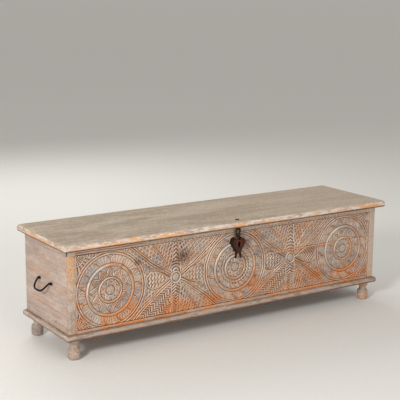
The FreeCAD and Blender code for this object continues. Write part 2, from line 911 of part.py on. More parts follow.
def bolt_guides():
    """Two small blocks that carry the bolt's bar; the right one is open on top for the riser."""
    low = bar_bottom - guide_wall
    high = bar_top + guide_wall
    guides = []
    for offset in (-guide_offset, guide_offset):
        x0 = lock_x + offset - guide_width / 2
        x1 = x0 + guide_width
        half = bolt_plate / 2 + bolt_clearance
        block = box(x0, x1, hasp_y - bolt_plate / 2 - guide_wall, case_back, low, high)
        tools = [bar_box(bolt_clearance, x0 - cut_overrun, x1 + cut_overrun)]
        if offset > 0:
            tools.append(box(x0 - cut_overrun, x1 + cut_overrun, hasp_y - half, hasp_y + half, bar_bottom,
                             high + cut_overrun))
        guides.append(cut_all(block, tools))
    return group(guides)


def lock_spring():
    """Leaf spring on a small foot between the guides, pressing up under the bolt's bar."""
    tip_x = lock_x + spring_tip_offset
    tip_z = bar_bottom - 2 * bolt_clearance - spring_sheet
    foot_x = tip_x - spring_reach
    foot_z = tip_z - spring_drop
    y0 = hasp_y - spring_width / 2
    middle_x = tip_x - spring_reach / 2
    middle_z = tip_z - spring_drop * spring_bow_share
    top = [V(tip_x, y0, tip_z + spring_sheet), V(middle_x, y0, middle_z + spring_sheet),
           V(foot_x, y0, foot_z + spring_sheet)]
    bottom = [V(foot_x, y0, foot_z), V(middle_x, y0, middle_z), V(tip_x, y0, tip_z)]
    outline = Part.Wire([
        Part.Arc(*top).toShape(),
        Part.LineSegment(top[2], bottom[0]).toShape(),
        Part.Arc(*bottom).toShape(),
        Part.LineSegment(bottom[2], top[0]).toShape(),
    ])
    blade = Part.Face(outline).extrude(Y_AXIS * spring_width)
    foot_block = box(foot_x - spring_foot / 2, foot_x + spring_foot / 2, y0, case_back,
                     foot_z - spring_foot / 2, foot_z + spring_foot / 2)
    return fused([blade, foot_block])


def key_post():
    """Post that the hollow key slides over."""
    return rod(V(lock_x, case_back, key_z), V(lock_x, lock_front + lock_sheet, key_z), key_post_radius)


# Hasp

def staple_x():
    """Where the staple grips the top bar of the hasp."""
    return hasp_x + staple_offset


def hasp_link():
    """Bent iron link with an eye for the bolt at its lower end."""
    half = hasp_width / 2 - hasp_wire_radius
    neck = hasp_neck_half_width
    points = [
        V(hasp_x - neck, hasp_y, hasp_z - hasp_neck_drop),
        V(hasp_x - half, hasp_y, hasp_z - hasp_leg),
        V(hasp_x - half, hasp_y, hasp_z),
        V(hasp_x + half, hasp_y, hasp_z),
        V(hasp_x + half, hasp_y, hasp_z - hasp_leg),
        V(hasp_x + neck, hasp_y, hasp_z - hasp_neck_drop),
    ]
    bow = bent_rod(points, [hasp_bend, hasp_corner_bend, hasp_corner_bend, hasp_bend],
                   hasp_wire_radius)
    half_eye = hasp_eye_width / 2
    half_plate = hasp_tongue_thickness / 2
    shoulder_half = neck + hasp_wire_radius
    shoulder_bottom = lock_top + hasp_shoulder_gap
    shoulder = box(hasp_x - shoulder_half, hasp_x + shoulder_half, hasp_y - half_plate, hasp_y + half_plate,
                   shoulder_bottom, hasp_z - hasp_neck_drop + hasp_wire_radius)
    tongue = box(hasp_x - half_eye, hasp_x + half_eye, hasp_y - half_plate, hasp_y + half_plate,
                 hasp_eye_z, shoulder_bottom)
    eye = rod(V(hasp_x - half_eye, hasp_y, hasp_eye_z), V(hasp_x + half_eye, hasp_y, hasp_eye_z),
              hasp_eye_radius)
    hole = rod(V(hasp_x - half_eye - cut_overrun, hasp_y, hasp_eye_z),
               V(hasp_x + half_eye + cut_overrun, hasp_y, hasp_eye_z), bolt_pin_radius + eye_play)
    return fused([bow, shoulder, tongue, eye]).cut(hole)


def hasp_staple():
    """Eye round the hasp's top bar, a shank up through the lid, its end bent over on top."""
    x = staple_x()
    bore = hasp_wire_radius + staple_clearance
    half = staple_shank_radius
    eye = rod(V(x - half, hasp_y, hasp_z), V(x + half, hasp_y, hasp_z), bore + staple_wall)
    clinch_z = lid_top + staple_shank_bend
    turn = math.radians(clinch_turn)
    clinch = V(math.sin(turn), -math.cos(turn), 0) * clinch_length
    shank = bent_rod([V(x, hasp_y, hasp_z + bore), V(x, hasp_y, clinch_z), V(x, hasp_y, clinch_z) + clinch],
                     [staple_shank_bend], staple_shank_radius)
    hole = rod(V(x - half - cut_overrun, hasp_y, hasp_z), V(x + half + cut_overrun, hasp_y, hasp_z), bore)
    return fused([eye, shank]).cut(hole)


# Handles

def handle_eye_places():
    """Centre of each handle eye and the way out from its wall."""
    places = []
    for wall, out in ((body_left, -1), (body_right, 1)):
        for offset in (-eye_near_offset, eye_far_offset):
            places.append((V(wall + out * handle_standoff, body_middle_y + offset, handle_z), out))
    return places


def handle_eye_tools():
    """Holes for the shanks of the handle eyes."""
    tools = []
    for centre, out in handle_eye_places():
        inside = centre - X_AXIS * out * (handle_standoff + end_thickness + cut_overrun)
        tools.append(rod(centre, inside, eye_shank_radius + peg_clearance))
    return tools


def handle_eyes(out):
    """The two eyes of one handle, with shanks through the wall bent over inside."""
    solids = []
    for centre, way in handle_eye_places():
        if way != out:
            continue
        bore = bail_radius + bail_clearance
        half = Y_AXIS * (eye_width / 2)
        through = half + Y_AXIS * cut_overrun
        eye = rod(centre - half, centre + half, bore + eye_wall)
        inside = centre - X_AXIS * out * (handle_standoff + end_thickness + eye_shank_bend)
        shank = bent_rod([centre - X_AXIS * out * bore, inside, inside - Z_AXIS * eye_clinch_length],
                         [eye_shank_bend], eye_shank_radius)
        hole = rod(centre - through, centre + through, bore)
        solids.append(fused([eye, shank]).cut(hole))
    return group(solids)


def handle_bail(out):
    """Hand-bent wire handle, hanging out at its resting tilt with its hooked ends against the wall."""
    tilt = math.radians(handle_tilt)
    down = V(out * math.sin(tilt), 0, -math.cos(tilt))
    axis = V((body_left if out < 0 else body_right) + out * handle_standoff, body_middle_y, handle_z)

    def place(y, drop):
        return axis + Y_AXIS * y + down * drop

    far_end = eye_far_offset - bail_end_reach
    near_end = -eye_near_offset - bail_end_reach
    points = [
        place(far_end, 0.0),
        place(bail_far_leg, 0.0),
        place(bail_far_leg, bail_drop),
        place(-bail_low_corner, bail_drop),
        place(-bail_near_corner, 0.0),
        place(near_end, 0.0),
    ]
    bends = [bail_end_bend, bail_far_bend, bail_low_bend, bail_near_bend]
    solids = [bent_rod(points, bends, bail_radius)]
    lean = math.radians(hook_angle)
    toward = V(-out * math.cos(lean), 0, -math.sin(lean))
    reach = (handle_standoff - hook_gap - hook_radius * math.sin(lean)) / math.cos(lean)
    for end in (far_end, near_end):
        start = axis + Y_AXIS * (end + bail_radius)
        solids.append(rod(start, start + toward * reach, hook_radius))
    return fused(solids)


def all_parts():
    """Every node of the chest by name."""
    parts = {}
    lower, upper = front_boards()
    parts["front_lower_board"] = lower
    parts["front_upper_board"] = upper
    parts["front_top_rail"] = box(body_left, body_right, body_front, facing_back, rail_bottom, wall_top)
    parts["front_left_stile"] = stile(body_left, inner_left)
    parts["front_right_stile"] = stile(inner_right, body_right)
    for side, x0, x1 in (("left", body_left, inner_left), ("right", inner_right, body_right)):
        for level, board in zip(("bottom", "middle", "top"), end_boards(x0, x1)):
            parts[f"{side}_end_{level}_board"] = board
    parts["back_lower_board"], parts["back_upper_board"] = back_boards()
    parts["floor_bearers"] = floor_bearers()
    for place, board in zip(("front", "middle", "back"), floor_boards()):
        parts[f"floor_{place}_board"] = board
    for place, member in zip(("front", "back", "left", "right"), base_members()):
        parts[f"base_{place}_moulding"] = member
    for name, x, y in foot_places():
        parts[name] = foot(x, y)
    parts["corner_pegs"] = group(corner_pegs())
    parts["floor_nails"] = group(floor_nails())
    for place, plank in zip(("front", "middle", "back"), lid_planks()):
        parts[f"lid_{place}_plank"] = plank
    for place, batten in zip(("left", "middle", "right"), battens()):
        parts[f"lid_{place}_batten"] = batten
    parts["batten_nails"] = group(batten_nails())
    for place, x in zip(("left", "middle", "right"), hinge_places()):
        lid_leaf, back_leaf = leaf_pair(x)
        parts[f"hinge_{place}_lid_leaf"] = lid_leaf
        parts[f"hinge_{place}_back_leaf"] = back_leaf
        parts[f"hinge_{place}_pin"] = hinge_pin(x)
    parts["hinge_lid_screws"] = group(lid_screws())
    parts["hinge_back_screws"] = group(back_screws())
    parts["lock_back_plate"] = lock_back_plate()
    parts["lock_cover"] = lock_cover()
    parts["lock_bolt"] = lock_bolt()
    parts["lock_bolt_guides"] = bolt_guides()
    parts["lock_spring"] = lock_spring()
    parts["lock_key_post"] = key_post()
    parts["lock_nails"] = group(lock_nails())
    parts["hasp_staple"] = hasp_staple()
    parts["hasp_link"] = hasp_link()
    for side, out in (("left", -1), ("right", 1)):
        parts[f"{side}_handle_eyes"] = handle_eyes(out)
        parts[f"{side}_handle_bail"] = handle_bail(out)
    return parts


def main():
    """Write one file for each node."""
    os.makedirs("parts", exist_ok=True)
    for name, shape in all_parts().items():
        if not shape.isValid():
            print("not valid:", name)
        print(f"{name}: {len(shape.Solids)} solid(s), {shape.Volume / 1000:.1f} cm3")
        shape.exportStep(f"parts/{name}.step")


main()
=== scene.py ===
import math
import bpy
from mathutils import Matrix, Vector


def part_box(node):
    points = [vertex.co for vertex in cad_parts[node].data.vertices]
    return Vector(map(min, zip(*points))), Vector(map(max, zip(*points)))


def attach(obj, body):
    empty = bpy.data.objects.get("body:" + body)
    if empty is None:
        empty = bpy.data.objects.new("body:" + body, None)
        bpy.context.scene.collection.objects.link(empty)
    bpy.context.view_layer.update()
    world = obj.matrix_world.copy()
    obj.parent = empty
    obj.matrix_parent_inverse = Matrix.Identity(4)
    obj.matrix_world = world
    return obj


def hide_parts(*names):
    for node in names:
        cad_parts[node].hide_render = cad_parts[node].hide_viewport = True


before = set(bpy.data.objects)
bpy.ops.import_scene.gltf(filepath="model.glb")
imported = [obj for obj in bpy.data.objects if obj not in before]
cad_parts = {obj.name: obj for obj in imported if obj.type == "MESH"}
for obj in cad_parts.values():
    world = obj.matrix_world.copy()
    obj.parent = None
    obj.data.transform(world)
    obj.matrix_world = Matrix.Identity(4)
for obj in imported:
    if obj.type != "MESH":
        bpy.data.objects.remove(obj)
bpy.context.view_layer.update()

from fnmatch import fnmatchcase

import bpy
import numpy as np
from mathutils import Quaternion, Vector

# Low carved chest. The frame gives every piece its place in metres; shapes here are worked out in
# millimetres from its boxes and turned into metres when a mesh is made.

MM = 0.001


def box_mm(node):
    """Lowest and highest corner of a node, in millimetres."""
    low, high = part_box(node)
    return np.array(low) / MM, np.array(high) / MM


rail_low, rail_high = box_mm("front_top_rail")
board_low, board_high = box_mm("front_lower_board")
upper_low, upper_high = box_mm("front_upper_board")
lid_low, lid_high = box_mm("lid_front_plank")
base_low, base_high = box_mm("base_left_moulding")
heart_low, heart_high = box_mm("lock_cover")
heart_middle = (heart_low[0] + heart_high[0]) / 2
front_y = rail_low[1]
facing_back_y = rail_high[1]
board_back_y = board_high[1]
body_left, body_right = rail_low[0], rail_high[0]
field_left, field_right = board_low[0], board_high[0]
field_bottom, field_top = board_low[2], box_mm("front_left_stile")[1][2]
seam_z = (board_high[2] + upper_low[2]) / 2
KEYHOLE_DROP = 29.0


# Colours, as they look on screen

def srgb(red, green, blue):
    """Linear colour of a screen colour given from 0 to 255."""
    return tuple(
        c / 12.92 if c <= 0.04045 else ((c + 0.055) / 1.055) ** 2.4
        for c in (red / 255, green / 255, blue / 255)
    ) + (1.0,)


LIME = srgb(174, 157, 141)
LIME_LIGHT = srgb(202, 186, 170)
# also the colour of the carving's painted highlights
LIME_PALE = srgb(228, 210, 194)
LIME_COOL = srgb(142, 133, 130)
EDGE_LIME = srgb(176, 154, 138)
EDGE_ORANGE = srgb(222, 168, 120)
BASE_RIM = srgb(140, 122, 110)
BASE_LIME = srgb(168, 152, 141)
KHAKI = srgb(186, 167, 144)
KHAKI_DARK = srgb(150, 134, 114)
KHAKI_PALE = srgb(200, 184, 164)
TAN = srgb(180, 144, 114)
# painted shade under the base's rounded edge, over bare wood
BASE_UNDER_SHADE_AND_BARE = srgb(120, 76, 46)
BASE_FLAT = (srgb(118, 96, 80), srgb(150, 124, 104), srgb(178, 154, 138))
TAN_PINK = srgb(186, 154, 130)
PINK_BEIGE = srgb(184, 164, 152)
END_BARE = srgb(204, 158, 128)
STILE_GREY = srgb(110, 86, 70)
STILE_LIME = srgb(192, 168, 150)
END_GREY = srgb(162, 138, 122)
END_PALE = srgb(206, 188, 176)
FOOT_GREY = srgb(124, 108, 98)
RIM_WHITE = srgb(218, 206, 196)
BARE_TAN = srgb(210, 152, 100)
BARE_TAN_DARK = srgb(160, 108, 70)
BARE_ORANGE = srgb(198, 118, 52)
# painted shade in the carving's deep cuts
CUT_SHADE = srgb(78, 56, 46)
# dark stains, and the painted shadow of the lid along the rail
STAIN_AND_SHADOW_BROWN = srgb(76, 52, 40)
# painted shade under the lid's rounded edge
UNDER_SHADE_BROWN = srgb(84, 62, 50)
BROWN = srgb(120, 84, 58)
BROWN_DARK = srgb(62, 42, 32)
RAW_WOOD = srgb(134, 96, 64)
RAW_WOOD_DARK = srgb(92, 62, 42)
IRON_BLACK = srgb(26, 21, 21)
# painted shade round the keyhole
KEYHOLE_SHADE = srgb(10, 7, 6)
HASP_BROWN = srgb(58, 38, 28)
IRON_BROWN = srgb(42, 27, 20)
RUST = srgb(72, 37, 22)
RUST_LIGHT = srgb(104, 54, 32)
RUST_ORANGE = srgb(140, 72, 38)
FLOOR_PALE = srgb(240, 238, 232)


# Materials

# Stretches of a noise: below 1 along the axes that it is drawn out on
EVEN = (1.0, 1.0, 1.0)
ALONG_X = (0.035, 1.0, 1.0)
ALONG_Y = (1.0, 0.035, 1.0)
AROUND = (0.12, 0.12, 1.0)
PATCHY = (0.45, 1.0, 0.4)
FLAKED = (0.2, 0.2, 1.0)
CHIPPED = (0.24, 0.24, 1.0)
# Ends of a streak's range, and the roughness at each
DULL = (0.3, 0.7, 0.72, 0.88)


def drawn_out(grain, stretch):
    """A grain with another stretch along its long axes."""
    return tuple(stretch if along < 1 else 1.0 for along in grain)


class Finish:
    """A procedural material, with short calls that add nodes to it."""

    def __init__(self, name, shift=0.0):
        self.material = bpy.data.materials.new(name)
        self.material.use_nodes = True
        self.nodes = self.material.node_tree.nodes
        self.links = self.material.node_tree.links
        self.shader = self.nodes["Principled BSDF"]
        where = self.nodes.new("ShaderNodeTexCoord")
        self.place, self.facing = where.outputs["Object"], where.outputs["Normal"]
        self.shift = shift

    def put(self, socket, value):
        """Links a socket, or sets its value."""
        if isinstance(value, bpy.types.NodeSocket):
            self.links.new(value, socket)
        else:
            socket.default_value = value

    def add(self, kind, **inputs):
        """A node of a kind with its inputs, whose names have _ for a space."""
        node = self.nodes.new("ShaderNode" + kind)
        for name, value in inputs.items():
            self.put(node.inputs[name.replace("_", " ")], value)
        return node

    def maths(self, operation, a, b=0.0):
        """Two values joined by an operation."""
        node = self.nodes.new("ShaderNodeMath")
        node.operation = operation
        self.put(node.inputs[0], a)
        self.put(node.inputs[1], b)
        return node.outputs[0]

    def times(self, a, b):
        """Product of two values."""
        return self.maths("MULTIPLY", a, b)

    def weighted(self, *parts):
        """Sum of values, each given with its weight."""
        total = 0.0
        for value, weight in parts:
            total = self.maths("ADD", total, self.times(value, weight))
        return total

    def noise(self, scale, stretch=EVEN, detail=4.0, rough=0.55, warp=0.0, shift=0.0):
        """Noise of a scale in lumps per metre, drawn out along the axes whose stretch is small."""
        shift += self.shift
        moved = self.add("Mapping", Vector=self.place, Location=(shift, shift * 0.7, shift * 1.3),
                         Scale=stretch)
        return self.add("TexNoise", Vector=moved.outputs["Vector"], Scale=scale, Detail=detail,
                        Roughness=rough, Distortion=warp).outputs["Fac"]

    def spread(self, value, low, high, to_low=0.0, to_high=1.0):
        """Value mapped from one range to another, held at its ends."""
        node = self.add("MapRange", Value=value, From_Min=low, From_Max=high, To_Min=to_low,
                        To_Max=to_high)
        node.interpolation_type = "SMOOTHSTEP"
        return node.outputs["Result"]

    def mix(self, factor, a, b):
        """Two colours mixed."""
        node = self.nodes.new("ShaderNodeMix")
        node.data_type = "RGBA"
        for socket, value in ((0, factor), (6, a), (7, b)):
            self.put(node.inputs[socket], value)
        return node.outputs[2]

    def coats(self, colour, *coats):
        """A colour under coats of (colour, value, low, high, most).

        Each coat covers from none to most of it as its value goes from low to high."""
        for coat, value, low, high, most in coats:
            colour = self.mix(self.spread(value, low, high, 0.0, most), colour, coat)
        return colour

    def attribute(self, name):
        """A value kept on the mesh's points."""
        node = self.nodes.new("ShaderNodeAttribute")
        node.attribute_name = name
        return node.outputs["Fac"]

    def axis(self, name, vector=None):
        """One axis of a vector, which is the point's place where none is given."""
        return self.add("SeparateXYZ", Vector=self.place if vector is None else vector).outputs[name]

    def end(self, colour, roughness, height, depth, metallic=0.0, specular=0.35):
        """Ties the colour, roughness and relief to the shader."""
        bump = self.add("Bump", Strength=1.0, Distance=depth * MM, Height=height)
        for name, value in (("Base Color", colour), ("Roughness", roughness), ("Metallic", metallic),
                            ("Specular IOR Level", specular), ("Normal", bump.outputs["Normal"])):
            self.put(self.shader.inputs[name], value)
        return self.material


def limed_wood(name, wood, lime, pale, grain, worn, cover, shift):
    """Old wood under a thin lime wash: grain streaks, blotches, specks, and bare wood where worn.

    worn is the colour of rubbed places, and cover how much lime is left, from 0 to 1."""
    f = Finish(name, shift)
    drawn = drawn_out(grain, 0.3)
    streak = f.noise(90, grain, 6, 0.6, 0.6)
    fibre = f.noise(520, grain, 3, 0.7, 0.2, 3)
    blotch = f.noise(9, drawn, 4, 0.6, 0.3, 7)
    cloud = f.noise(30, drawn, 5, 0.65, 0.4, 11)
    grit = f.noise(210, EVEN, 4, 0.7, 0.0, 19)
    speck = f.noise(420, EVEN, 2, 0.6, 0.0, 5)
    dirt = f.noise(160, (0.3, 1, 1), 3, 0.7, 0.0, 17)
    lime_left = f.weighted((streak, 0.8), (blotch, 0.7), (f.attribute("wear"), -0.05))
    middle = 0.75 + (0.5 - cover) * 0.45
    body = f.coats(wood, (lime, streak, 0.32, 0.6, 1.0), (pale, cloud, 0.45, 0.7, 0.75),
                   (LIME_COOL, blotch, 0.52, 0.64, 0.4),
                   (worn, lime_left, middle + 0.07, middle - 0.07, 1.0),
                   (wood, grit, 0.5, 0.4, 0.7), (pale, grit, 0.54, 0.64, 0.6),
                   (BROWN, fibre, 0.46, 0.28, 0.45), (pale, speck, 0.6, 0.7, 0.4),
                   (BROWN, dirt, 0.64, 0.72, 0.5))
    limed = f.times(f.attribute("limed"), f.spread(cloud, 0.35, 0.6, 0.6, 1.0))
    body = f.mix(limed, body, f.coats(LIME, (LIME_LIGHT, grit, 0.46, 0.6, 1.0)))
    return f.end(body, f.spread(streak, *DULL), f.weighted((streak, 0.6), (fibre, 0.4)), 0.35)


def edged_wood(name, grain, flat, rim, bare, below, shift):
    """Wood with a rounded edge: flat top of three tones, whitewashed rim with bare streaks, painted shade
    below.

    flat holds the dark, middle and pale tone, rim the middle and pale one, and bare two worn tones."""
    f = Finish(name, shift)
    drawn, long = drawn_out(grain, 0.3), drawn_out(grain, 0.08)
    streak = f.noise(60, grain, 6, 0.62, 0.6)
    fibre = f.noise(480, grain, 3, 0.7, 0.2, 3)
    cloud = f.noise(9, drawn, 4, 0.6, 0.4, 7)
    patch = f.noise(24, long, 5, 0.6, 0.6, 11)
    dashes = f.noise(70, long, 4, 0.6, 0.4, 27)
    flakes = f.noise(110, FLAKED, 4, 0.7, 0.3, 21)
    chips = f.noise(60, CHIPPED, 5, 0.7, 0.5, 31)
    grit = f.noise(150, drawn, 5, 0.8, 0.0, 15)
    speck = f.noise(330, EVEN, 2, 0.6, 0.0, 13)
    top = f.coats(flat[0], (flat[1], streak, 0.36, 0.64, 1.0), (flat[2], cloud, 0.42, 0.66, 0.8),
                  (TAN_PINK, patch, 0.52, 0.66, 0.6), (bare[1], dashes, 0.62, 0.7, 0.6),
                  (flat[0], grit, 0.5, 0.4, 0.8), (flat[2], grit, 0.54, 0.64, 0.8))
    # painted light: the flat top is made paler where the lid looks brighter, towards the right
    top = f.mix(f.attribute("painted_brightening"), top, flat[2])
    worn = f.weighted((chips, 0.75), (patch, 0.25), (f.attribute("rubbed"), 1.0))
    edge = f.coats(rim[0], (rim[1], flakes, 0.42, 0.56, 1.0), (bare[0], worn, 0.49, 0.54, 0.9),
                   (bare[1], worn, 0.57, 0.63, 0.8))
    colour = f.coats(top, (edge, f.attribute("nose"), 0.62, 0.9, 1.0))
    # painted shade: the lower part of the rounded edge is darkened towards the below colour
    under = f.times(f.attribute("under"), f.spread(streak, 0.3, 0.6, 1.0, 0.8))
    colour = f.coats(f.mix(under, colour, below), (BROWN, fibre, 0.46, 0.3, 0.35),
                     (rim[1], speck, 0.6, 0.7, 0.35))
    return f.end(colour, f.spread(streak, *DULL), f.weighted((streak, 0.6), (grit, 0.5)), 0.5)


def carved_wood():
    """Carving: lime in hollows, tan to orange where rubbed, white lime and painted highlights, painted shade
    in deep cuts.
    """
    f = Finish("carved_wood")
    streak = f.noise(80, ALONG_X, 6, 0.62, 0.8, 2)
    fibre = f.noise(480, ALONG_X, 3, 0.7, 0.2, 6)
    blotch = f.noise(13, (0.6, 1, 1), 5, 0.62, 0.4, 9)
    grit = f.noise(170, (0.5, 1, 1), 4, 0.7, 0.5, 14)
    speck = f.noise(480, EVEN, 2, 0.6, 0.0, 21)
    jitter = f.times(f.maths("SUBTRACT", grit, 0.5), 1.8)
    warmth = f.weighted((f.attribute("warm"), 1.0), (jitter, 0.5))
    bare = f.weighted((f.attribute("bare"), 1.0), (jitter, 1.0))
    # painted shade in the cuts
    dark = f.weighted((f.attribute("hollow"), 1.0), (jitter, 0.4))
    lime = f.coats(LIME_COOL, (LIME, blotch, 0.38, 0.62, 1.0), (LIME_LIGHT, grit, 0.5, 0.66, 0.7))
    wood = f.coats(BARE_TAN_DARK, (BARE_TAN, streak, 0.34, 0.66, 1.0),
                   (BARE_ORANGE, warmth, 0.3, 0.9, 1.0), (LIME_LIGHT, fibre, 0.55, 0.8, 0.5))
    colour = f.coats(lime, (wood, bare, 0.25, 0.75, 1.0))
    # pale: white lime, and a painted highlight on slopes that face the upper left
    colour = f.mix(f.times(f.attribute("pale"), 0.9), colour, LIME_PALE)
    colour = f.coats(colour, (LIME_PALE, speck, 0.6, 0.7, 0.45), (CUT_SHADE, dark, 0.15, 0.85, 0.95))
    # dark stains, and on the rail the painted shadow of the lid
    stain_and_shadow = f.times(f.attribute("stain_and_shadow"), f.spread(grit, 0.3, 0.6, 0.3, 1.0))
    colour = f.mix(stain_and_shadow, colour, STAIN_AND_SHADOW_BROWN)
    return f.end(colour, f.spread(bare, 0.2, 0.8, 0.86, 0.7), f.weighted((streak, 0.5), (grit, 0.7)), 0.6)


def raw_wood(name, grain, shift):
    """Bare, dull wood inside the chest."""
    f = Finish(name, shift)
    streak = f.noise(60, grain, 6, 0.62, 0.9)
    fibre = f.noise(420, grain, 3, 0.7, 0.2, 3)
    blotch = f.noise(5, EVEN, 3, 0.6, 0.2, 7)
    colour = f.coats(RAW_WOOD_DARK, (RAW_WOOD, streak, 0.3, 0.72, 1.0),
                     (RAW_WOOD_DARK, blotch, 0.4, 0.75, 0.5), (BROWN_DARK, fibre, 0.45, 0.3, 0.5))
    return f.end(colour, f.spread(streak, 0.3, 0.7, 0.7, 0.86), streak, 0.3)


# half width, half height and fade of the painted shade round the keyhole
KEYHOLE_SHADE_HALF = (4.6 * MM, 12.5 * MM)
KEYHOLE_SHADE_FADE = 2.0 * MM


def iron(name, dark, light, bloom, rust_share, shift, roughness=0.62, metallic=0.35, flank=0.0,
         limed_from=0.0, keyhole=None):
    """Forged iron: dark skin, brown rust in patches and fine pits.

    flank darkens its left side; what lies further back than limed_from is limed over; round the
    place given as keyhole, painted shade makes the keyhole look larger."""
    f = Finish(name, shift)
    patch = f.noise(70, EVEN, 5, 0.65, 0.5)
    pits = f.noise(520, EVEN, 4, 0.7, 0.0, 4)
    fine = f.noise(1500, EVEN, 2, 0.6, 0.0, 9)
    rusty = 0.62 - rust_share * 0.3
    colour = f.coats(dark, (light, patch, rusty, rusty + 0.16, 1.0), (bloom, pits, 0.5, 0.7, 0.6),
                     (dark, pits, 0.46, 0.34, 0.8))
    if flank:
        leftward = f.times(f.axis("X", f.facing), -1.0)
        colour = f.coats(colour, (IRON_BLACK, leftward, 0.1, 0.6, flank))
    if keyhole:
        # painted shade round the keyhole, so that the dark hole looks larger
        keyhole_shade = 0.95
        for axis, middle, half in zip("XZ", keyhole, KEYHOLE_SHADE_HALF):
            away = f.maths("ABSOLUTE", f.maths("SUBTRACT", f.axis(axis), middle * MM))
            keyhole_shade = f.times(keyhole_shade, f.spread(away, half, half + KEYHOLE_SHADE_FADE, 1.0, 0.0))
        colour = f.mix(keyhole_shade, colour, KEYHOLE_SHADE)
    if limed_from:
        lime = f.coats(END_GREY, (PINK_BEIGE, pits, 0.4, 0.6, 1.0))
        colour = f.mix(f.maths("GREATER_THAN", f.axis("Y"), limed_from), colour, lime)
    rough = f.spread(patch, 0.3, 0.7, roughness - 0.12, roughness + 0.16)
    return f.end(colour, rough, f.weighted((pits, 0.7), (fine, 0.3)), 0.5, metallic, 0.2)


MATERIALS = {
    "carved": carved_wood(),
    "stile": limed_wood("stile_wood", STILE_GREY, STILE_LIME, LIME_LIGHT, PATCHY, BARE_TAN, 0.58, 37.0),
    "end": limed_wood("end_wood", END_GREY, PINK_BEIGE, END_PALE, ALONG_Y, END_BARE, 0.84, 41.0),
    "back": limed_wood("back_wood", BROWN, LIME_COOL, LIME, ALONG_X, TAN, 0.7, 43.0),
    "moulding_x": edged_wood("moulding_wood_x", ALONG_X, BASE_FLAT, (BASE_RIM, LIME),
                             (BASE_LIME, TAN), BASE_UNDER_SHADE_AND_BARE, 47.0),
    "moulding_y": edged_wood("moulding_wood_y", ALONG_Y, BASE_FLAT, (LIME, LIME_LIGHT),
                             (BASE_LIME, TAN), BASE_UNDER_SHADE_AND_BARE, 49.0),
    "lid": edged_wood("lid_wood", ALONG_X, (KHAKI_DARK, KHAKI, KHAKI_PALE), (EDGE_LIME, RIM_WHITE),
                      (EDGE_ORANGE, BARE_TAN), UNDER_SHADE_BROWN, 53.0),
    "foot": limed_wood("foot_wood", FOOT_GREY, BASE_LIME, LIME_LIGHT, AROUND, BARE_TAN, 0.66, 59.0),
    "raw_x": raw_wood("inner_wood_x", ALONG_X, 61.0),
    "raw_y": raw_wood("inner_wood_y", ALONG_Y, 67.0),
    "hasp": iron("hasp_iron", IRON_BROWN, HASP_BROWN, RUST, 0.6, 71.0, 0.7, 0.1),
    "handle": iron("handle_iron", IRON_BLACK, IRON_BROWN, RUST, 0.25, 73.0),
    "hinge": iron("hinge_iron", IRON_BLACK, IRON_BROWN, RUST, 0.6, 79.0),
    "lock": iron("lock_iron", IRON_BROWN, RUST, RUST_LIGHT, 0.75, 83.0, 0.78, 0.05, 0.9,
                 keyhole=(heart_middle, heart_high[2] - KEYHOLE_DROP)),
    "arch": iron("arch_iron", RUST, RUST_LIGHT, RUST_ORANGE, 0.8, 85.0, 0.75, 0.1),
    "works": iron("works_iron", IRON_BLACK, IRON_BROWN, RUST, 0.4, 89.0, 0.5, 0.6),
    "nail": iron("nail_iron", IRON_BLACK, IRON_BROWN, RUST, 0.5, 97.0),
    "end_nail": iron("end_nail_iron", IRON_BLACK, IRON_BROWN, RUST, 0.5, 99.0, metallic=0.0,
                     limed_from=base_low[1] * 0.25 * MM),
}


# Meshes

def unit(value):
    """A value held between 0 and 1."""
    return np.clip(value, 0, 1)


def step_between(low, high, value):
    """0 below low, 1 above high, smooth between."""
    share = unit((value - low) / (high - low))
    return share * share * (3 - 2 * share)


def put_in_scene(name, data):
    """An object of a mesh, light or camera, in the scene."""
    thing = bpy.data.objects.new(name, data)
    bpy.context.scene.collection.objects.link(thing)
    return thing


def make_object(name, points, faces, materials, body, stands_for=(), inner=None):
    """A piece from points in millimetres. inner marks the faces that take the second material."""
    mesh = bpy.data.meshes.new(name)
    mesh.from_pydata((np.asarray(points) * MM).tolist(), [], faces)
    for key in materials:
        mesh.materials.append(MATERIALS[key])
    if inner is not None:
        mesh.polygons.foreach_set("material_index", np.asarray(inner, dtype=np.int32))
    mesh.polygons.foreach_set("use_smooth", np.ones(len(mesh.polygons), bool))
    mesh.update()
    piece = put_in_scene(name, mesh)
    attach(piece, body)
    if stands_for:
        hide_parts(*stands_for)
    return piece


def keep_values(piece, **values):
    """Stores values on the points of a piece, for its material."""
    for name, numbers in values.items():
        layer = piece.data.attributes.new(name, "FLOAT", "POINT")
        layer.data.foreach_set("value", np.asarray(numbers, dtype=np.float32).ravel())


def waves(points, size, seed):
    """Smooth noise from about -1 to 1: a few crossing waves whose lengths lie around size."""
    random = np.random.default_rng(seed)
    total = np.zeros(len(points))
    count = 7
    for _ in range(count):
        direction = random.normal(size=3)
        direction /= np.linalg.norm(direction)
        length = size * random.uniform(0.6, 1.7)
        total += np.sin(points @ direction * (2 * math.pi / length) + random.uniform(0, 2 * math.pi))
    return total / math.sqrt(count)


def grid_lines(low, high, step, edge):
    """Even lines between two ends, with three more close to each end for a rounded edge."""
    count = max(1, int(round((high - low - 2 * edge) / step)))
    middle = np.linspace(low + edge, high - edge, count + 1)
    rim = edge * np.array([0.0, 0.35, 0.7])
    return np.concatenate([low + rim, middle, (high - rim)[::-1]])


